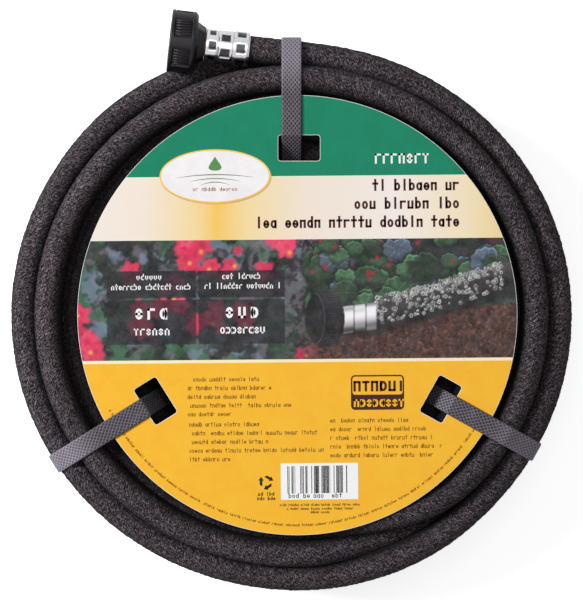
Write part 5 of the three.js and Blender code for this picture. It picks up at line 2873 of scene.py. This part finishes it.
    def emblem(self) -> None:
        """Prints a plain oval plaque with a water drop over ripples."""
        x, y = self.emblem_centre
        self.prism("plaque_shadow", [self.oval(x + 0.4, y - 0.7, 34.6, 16.8)], Ink.PLAQUE_SHADOW.finish, 1)
        self.prism("plaque_rim", [self.oval(x, y, 34.5, 16.7)], Ink.GOLD.finish, 2)
        self.prism("plaque", [self.oval(x, y, 33.5, 15.8)], Ink.PLAQUE.finish, 3)
        turns = np.arange(40) / 40 * TAU
        wide = 3.0 * (1 - 0.62 * np.sin(turns)) * (1 - 0.35 * np.sin(turns))
        drop = np.stack([x + wide * np.cos(turns), y + 7.7 + 4.3 * np.sin(turns)], axis=-1)
        self.prism("drop_print", [self.to_plane(drop)], Ink.DROP.finish, 4)
        ripples = []
        for half, middle, thick in ((24, 0.7, 0.5), (16, -1.7, 0.45), (9, -3.9, 0.4)):
            along = np.linspace(-half, half, 30)
            share = (along / half) ** 2
            lower = np.stack([x + along, y + middle - 1.6 * share - 0.05], axis=-1)
            upper = lower + np.stack([0 * share, thick * (1 - share) + 0.1], axis=-1)
            ripples.append(self.to_plane(np.concatenate([lower, upper[::-1]])))
        self.prism("ripple_print", ripples, Ink.RIPPLE.finish, 4)
        self.rows("plaque_rows", [(-60, -34, 67.6)], Ink.PLAQUE_TEXT, 4, Lettering(1.9, 0.4, 3))

    def text(self) -> None:
        """Prints the rows of generic strokes."""
        titles = [(52.6, 102.6, 66.9), (41.4, 102.6, 55.6), (-19.8, 102.6, 44.2)]
        heads = [(-95.2, -79.0, 12.7), (-111.0, -63.6, 6.6), (-42.0, -20.2, 12.9), (-53.0, -7.6, 6.9)]
        values = [(-94.8, -79.6, -11.8), (-38.6, -23.0, -11.4)]
        units = [(-96.6, -77.4, -21.6), (-43.0, -18.2, -21.0)]
        notes = []
        for left, first, widths in (
            (-64.4, -50.6, (43.0, 50.6, 41.0, 63.0, 29.0)),
            (-63.6, -78.6, (42.0, 78.0, 47.6, 82.0, 24.0)),
            (24.0, -76.8, (47.0, 58.0, 62.0, 68.0, 64.0)),
        ):
            notes += [(left, left + width, first - 5.4 * i) for i, width in enumerate(widths)]
        self.rows("title_rows", titles, Ink.BROWN, 1, Lettering(5.2, 1.35, 11, 0.86, 6.7))
        self.rows("number_row", [(54.4, 84.0, 83.8)], Ink.WHITE, 1, Lettering(6.2, 1.2, 4, 0.72, 50.0, 1.0))
        self.rows("head_rows", heads, Ink.WHITE, 1, Lettering(2.7, 0.66, 21, 0.86, 8.3))
        self.rows("value_rows", values, Ink.WHITE, 1, Lettering(7.0, 1.6, 33, 0.8, 50.0, 1.0))
        self.rows("unit_rows", units, Ink.WHITE, 1, Lettering(4.2, 0.9, 35, 0.84, 50.0, 1.0))
        self.rows("note_rows", notes, Ink.FAINT_BROWN, 1, Lettering(2.0, 0.38, 8, 0.84, 6.8))
        arc = circle(131.2, np.radians(np.arange(207.0, 333.0, 1.5)), self.centre)
        points = np.column_stack([arc, np.full(len(arc), self.height_of(1))])
        edges = [(i, i + 1) for i in range(len(points) - 1)]
        self.printed("rim_row", points, edges, Ink.FAINT_BROWN, Lettering(1.3, 0.3, 17, 0.95, 7.3))

    def badge(self) -> None:
        """Prints a framed badge whose lower half is filled."""
        left, right, low, high = 36.4, 69.4, -69.0, -47.4
        outline = self.rounded(left, right, low, high, 2.4)
        hole = self.rounded(left + 0.9, right - 0.9, -59.6, high - 0.9, 1.6)
        self.prism("badge_print", [outline], Ink.BROWN.finish, 1, [hole])
        upper, lower = [(40.2, 67.4, -57.6)], [(39.8, 67.6, -67.2)]
        self.rows("badge_rows", upper, Ink.BROWN, 1, Lettering(6.6, 1.5, 41, 0.82, 50.0, 1.0))
        self.rows("badge_low_rows", lower, Ink.YELLOW, 2, Lettering(4.8, 1.15, 43, 0.82, 50.0, 1.0))

    def bars(self, left: float, right: float, middle: float) -> None:
        """Prints a row of random bars.

        Args:
            left: Left end of the row.
            right: Right end of the row.
            middle: Height of its middle.
        """
        ends = self.to_plane(np.array([(left, middle), (right, middle)]))
        points = np.column_stack([ends, np.full(2, self.height_of(2))])
        values = {
            "Height": 17.0 * MM,
            "Pitch": 0.86 * MM,
            "Widest": 0.86 * MM,
            "Depth": self.ink_depth * MM,
            "Kept": 0.66,
            "Seed": 9,
        }
        item = grown("bar_print", points, [(0, 1)], bars_tree(), Ink.BLACK.finish, values)
        there = Matrix.Translation((*ends.mean(axis=0) * MM, 0.0))
        item.data.transform(there @ Matrix.Rotation(math.radians(self.tilt), 4, "Z") @ there.inverted())
        place(item, Body.PACK, "printed_card")

    def arrows(self) -> None:
        """Prints three arrows that turn round one point."""
        centre = np.array([-16.8, -113.4])
        head = [(1.0, 1.4), (3.4, 3.1), (1.0, 4.8)]
        shape = np.array([(-2.6, 2.3), (1.0, 2.3), *head, (1.0, 3.9), (-1.6, 3.9)])
        outlines = []
        for turn in np.radians([90, 210, 330]):
            spin = np.array([[math.cos(turn), -math.sin(turn)], [math.sin(turn), math.cos(turn)]])
            outlines.append(self.to_plane(centre + shape @ spin.T))
        self.prism("turning_arrows", outlines, Ink.BLACK.finish, 1)

    def panel(self) -> None:
        """Prints the white panel with bars, and the arrows and small rows beside and below it."""
        left, right, low, high = -7.6, 40.4, -124.4, -101.8
        self.prism("panel_print", [self.rounded(left, right, low, high, 0.3)], Ink.WHITE.finish, 1)
        self.bars(left + 4.4, right - 5.4, high - 10.2)
        digits = [(left + 5.6, left + 17, -123.4), (left + 21, left + 37, -123.4)]
        self.rows("bar_rows", digits, Ink.BLACK, 2, Lettering(2.2, 0.4, 6))
        small = [(-8.0, 40.6, -128.4), (-3.6, 36.4, -130.8), (10.0, 23.0, -133.0)]
        self.rows("small_rows", small, Ink.FAINT_BROWN, 1, Lettering(1.2, 0.3, 12, 0.9, 6.1))
        self.arrows()
        below = [(-21.2, -12.4, -121.8), (-21.8, -11.8, -124.6)]
        self.rows("arrow_rows", below, Ink.BLACK, 1, Lettering(1.7, 0.42, 14))

    def build(self) -> None:
        """Makes the board and every print."""
        for part in (self.board, self.inks, self.picture, self.emblem, self.text, self.badge, self.panel):
            part()


# ---------------------------------------------------------------- camera, light and floor


@dataclass
class Studio:
    """Floor, soft lights and the camera that looks straight down on the card.

    Attributes:
        view_width: Width of the view on the card's plane.
        view_centre: Point of the card's plane in the middle of the view.
        plane: Height of that plane.
        distance: Camera distance above that plane.
        sensor: Width of the camera's sensor.
        key: Power of the main light, in watts.
        fill: Power of the overhead light, in watts.
        ambient: Strength of the light from all round.
        mirrored: Extra strength of that light in reflections.
        floor_glow: Glow of the floor towards the camera.
    """

    view_width: float = 364.375
    view_centre: tuple[float, float] = (0.0, -0.4)
    plane: float = 60.0
    distance: float = 1900.0
    sensor: float = 36.0
    key: float = 178.0
    fill: float = 7.6
    ambient: float = 0.11
    mirrored: float = 0.75
    floor_glow: float = 0.75

    def camera(self) -> None:
        """Adds the camera."""
        data = bpy.data.cameras.new("camera")
        data.sensor_fit = "HORIZONTAL"
        data.sensor_width = self.sensor
        data.lens = self.sensor * self.distance / self.view_width
        data.clip_end = 50.0
        item = bpy.data.objects.new("camera", data)
        item.location = Vector((*self.view_centre, self.plane + self.distance)) * MM
        bpy.context.scene.collection.objects.link(item)
        bpy.context.scene.camera = item

    def area(self, name: str, spot: tuple[float, float, float], size: float, power: float) -> None:
        """Adds a soft area light that points at the pack.

        Args:
            name: The light's name.
            spot: Where it hangs, in metres.
            size: Its side in metres.
            power: Its power in watts.
        """
        data = bpy.data.lights.new(name, "AREA")
        data.size = size
        data.energy = power
        item = bpy.data.objects.new(name, data)
        item.location = spot
        aim = Vector((0.0, 0.0, 0.05)) - item.location
        item.rotation_euler = aim.to_track_quat("-Z", "Y").to_euler()
        bpy.context.scene.collection.objects.link(item)

    def floor_material(self) -> bpy.types.Material:
        """Near-white floor that also glows a little towards the camera, as a light table does.

        Returns:
            The material, whose glow stops inside the coil so that none shows through the card's slots.
        """
        material, sheet = new_material("pale_floor")
        where = sheet.coordinates()
        mottle = sheet.noise(where, 30.0, 3.0)
        seen = sheet.take("ShaderNodeLightPath", output="Is Camera Ray")
        outside = sheet.remap(sheet.vector("LENGTH", where), 0.11, 0.16, 0.0, 1.0)
        inputs = {
            "Base Color": sheet.mix(mottle, srgb(248, 248, 248), srgb(252, 252, 252)),
            "Roughness": sheet.remap(mottle, 0.0, 1.0, 0.8, 0.95),
            "Emission Color": srgb(255, 255, 255),
            "Emission Strength": seen * outside * self.floor_glow,
        }
        sheet.surface(inputs)
        return material

    def build(self) -> None:
        """Adds the floor and the lights."""
        corners = np.array([[-1, -1, 0], [1, -1, 0], [1, 1, 0], [-1, 1, 0]]) * 6000.0
        make_mesh("floor", corners, [[0, 1, 2, 3]], self.floor_material(), smooth=False)
        self.area("key_light", (-3.0, 1.0, 2.3), 1.4, self.key)
        self.area("fill_light", (0.3, 0.3, 2.2), 1.4, self.fill)
        world = bpy.data.worlds.new("studio")
        world.use_nodes = True
        sheet = Sheet(world.node_tree)
        reflected = sheet.take("ShaderNodeLightPath", output="Is Glossy Ray")
        light = {"Color": (1.0, 1.0, 1.0, 1.0), "Strength": reflected * self.mirrored + self.ambient}
        sheet.add("ShaderNodeOutputWorld", {0: sheet.take("ShaderNodeBackground", light)})
        bpy.context.scene.world = world
        bpy.context.scene.view_settings.view_transform = "Standard"


def main() -> None:
    """Builds the camera, the hose and then every other piece, and reports each."""
    logging.basicConfig(level=logging.INFO, format="%(message)s")
    studio = Studio()
    studio.camera()
    hose = Hose()
    tube = hose.build()
    place(tube, Body.PACK, "porous_rubber", "hose_coil", "hose_inlet_run", "hose_outlet_run")
    LOG.info("hose length %.0f mm, %d rings", hose.length, len(hose.rings))
    inlet = InletFitting()
    outlet_pieces = OutletFitting().build()
    inlet.build()
    Straps().build()
    Card().build()
    studio.build()


if __name__ == "__main__":
    main()
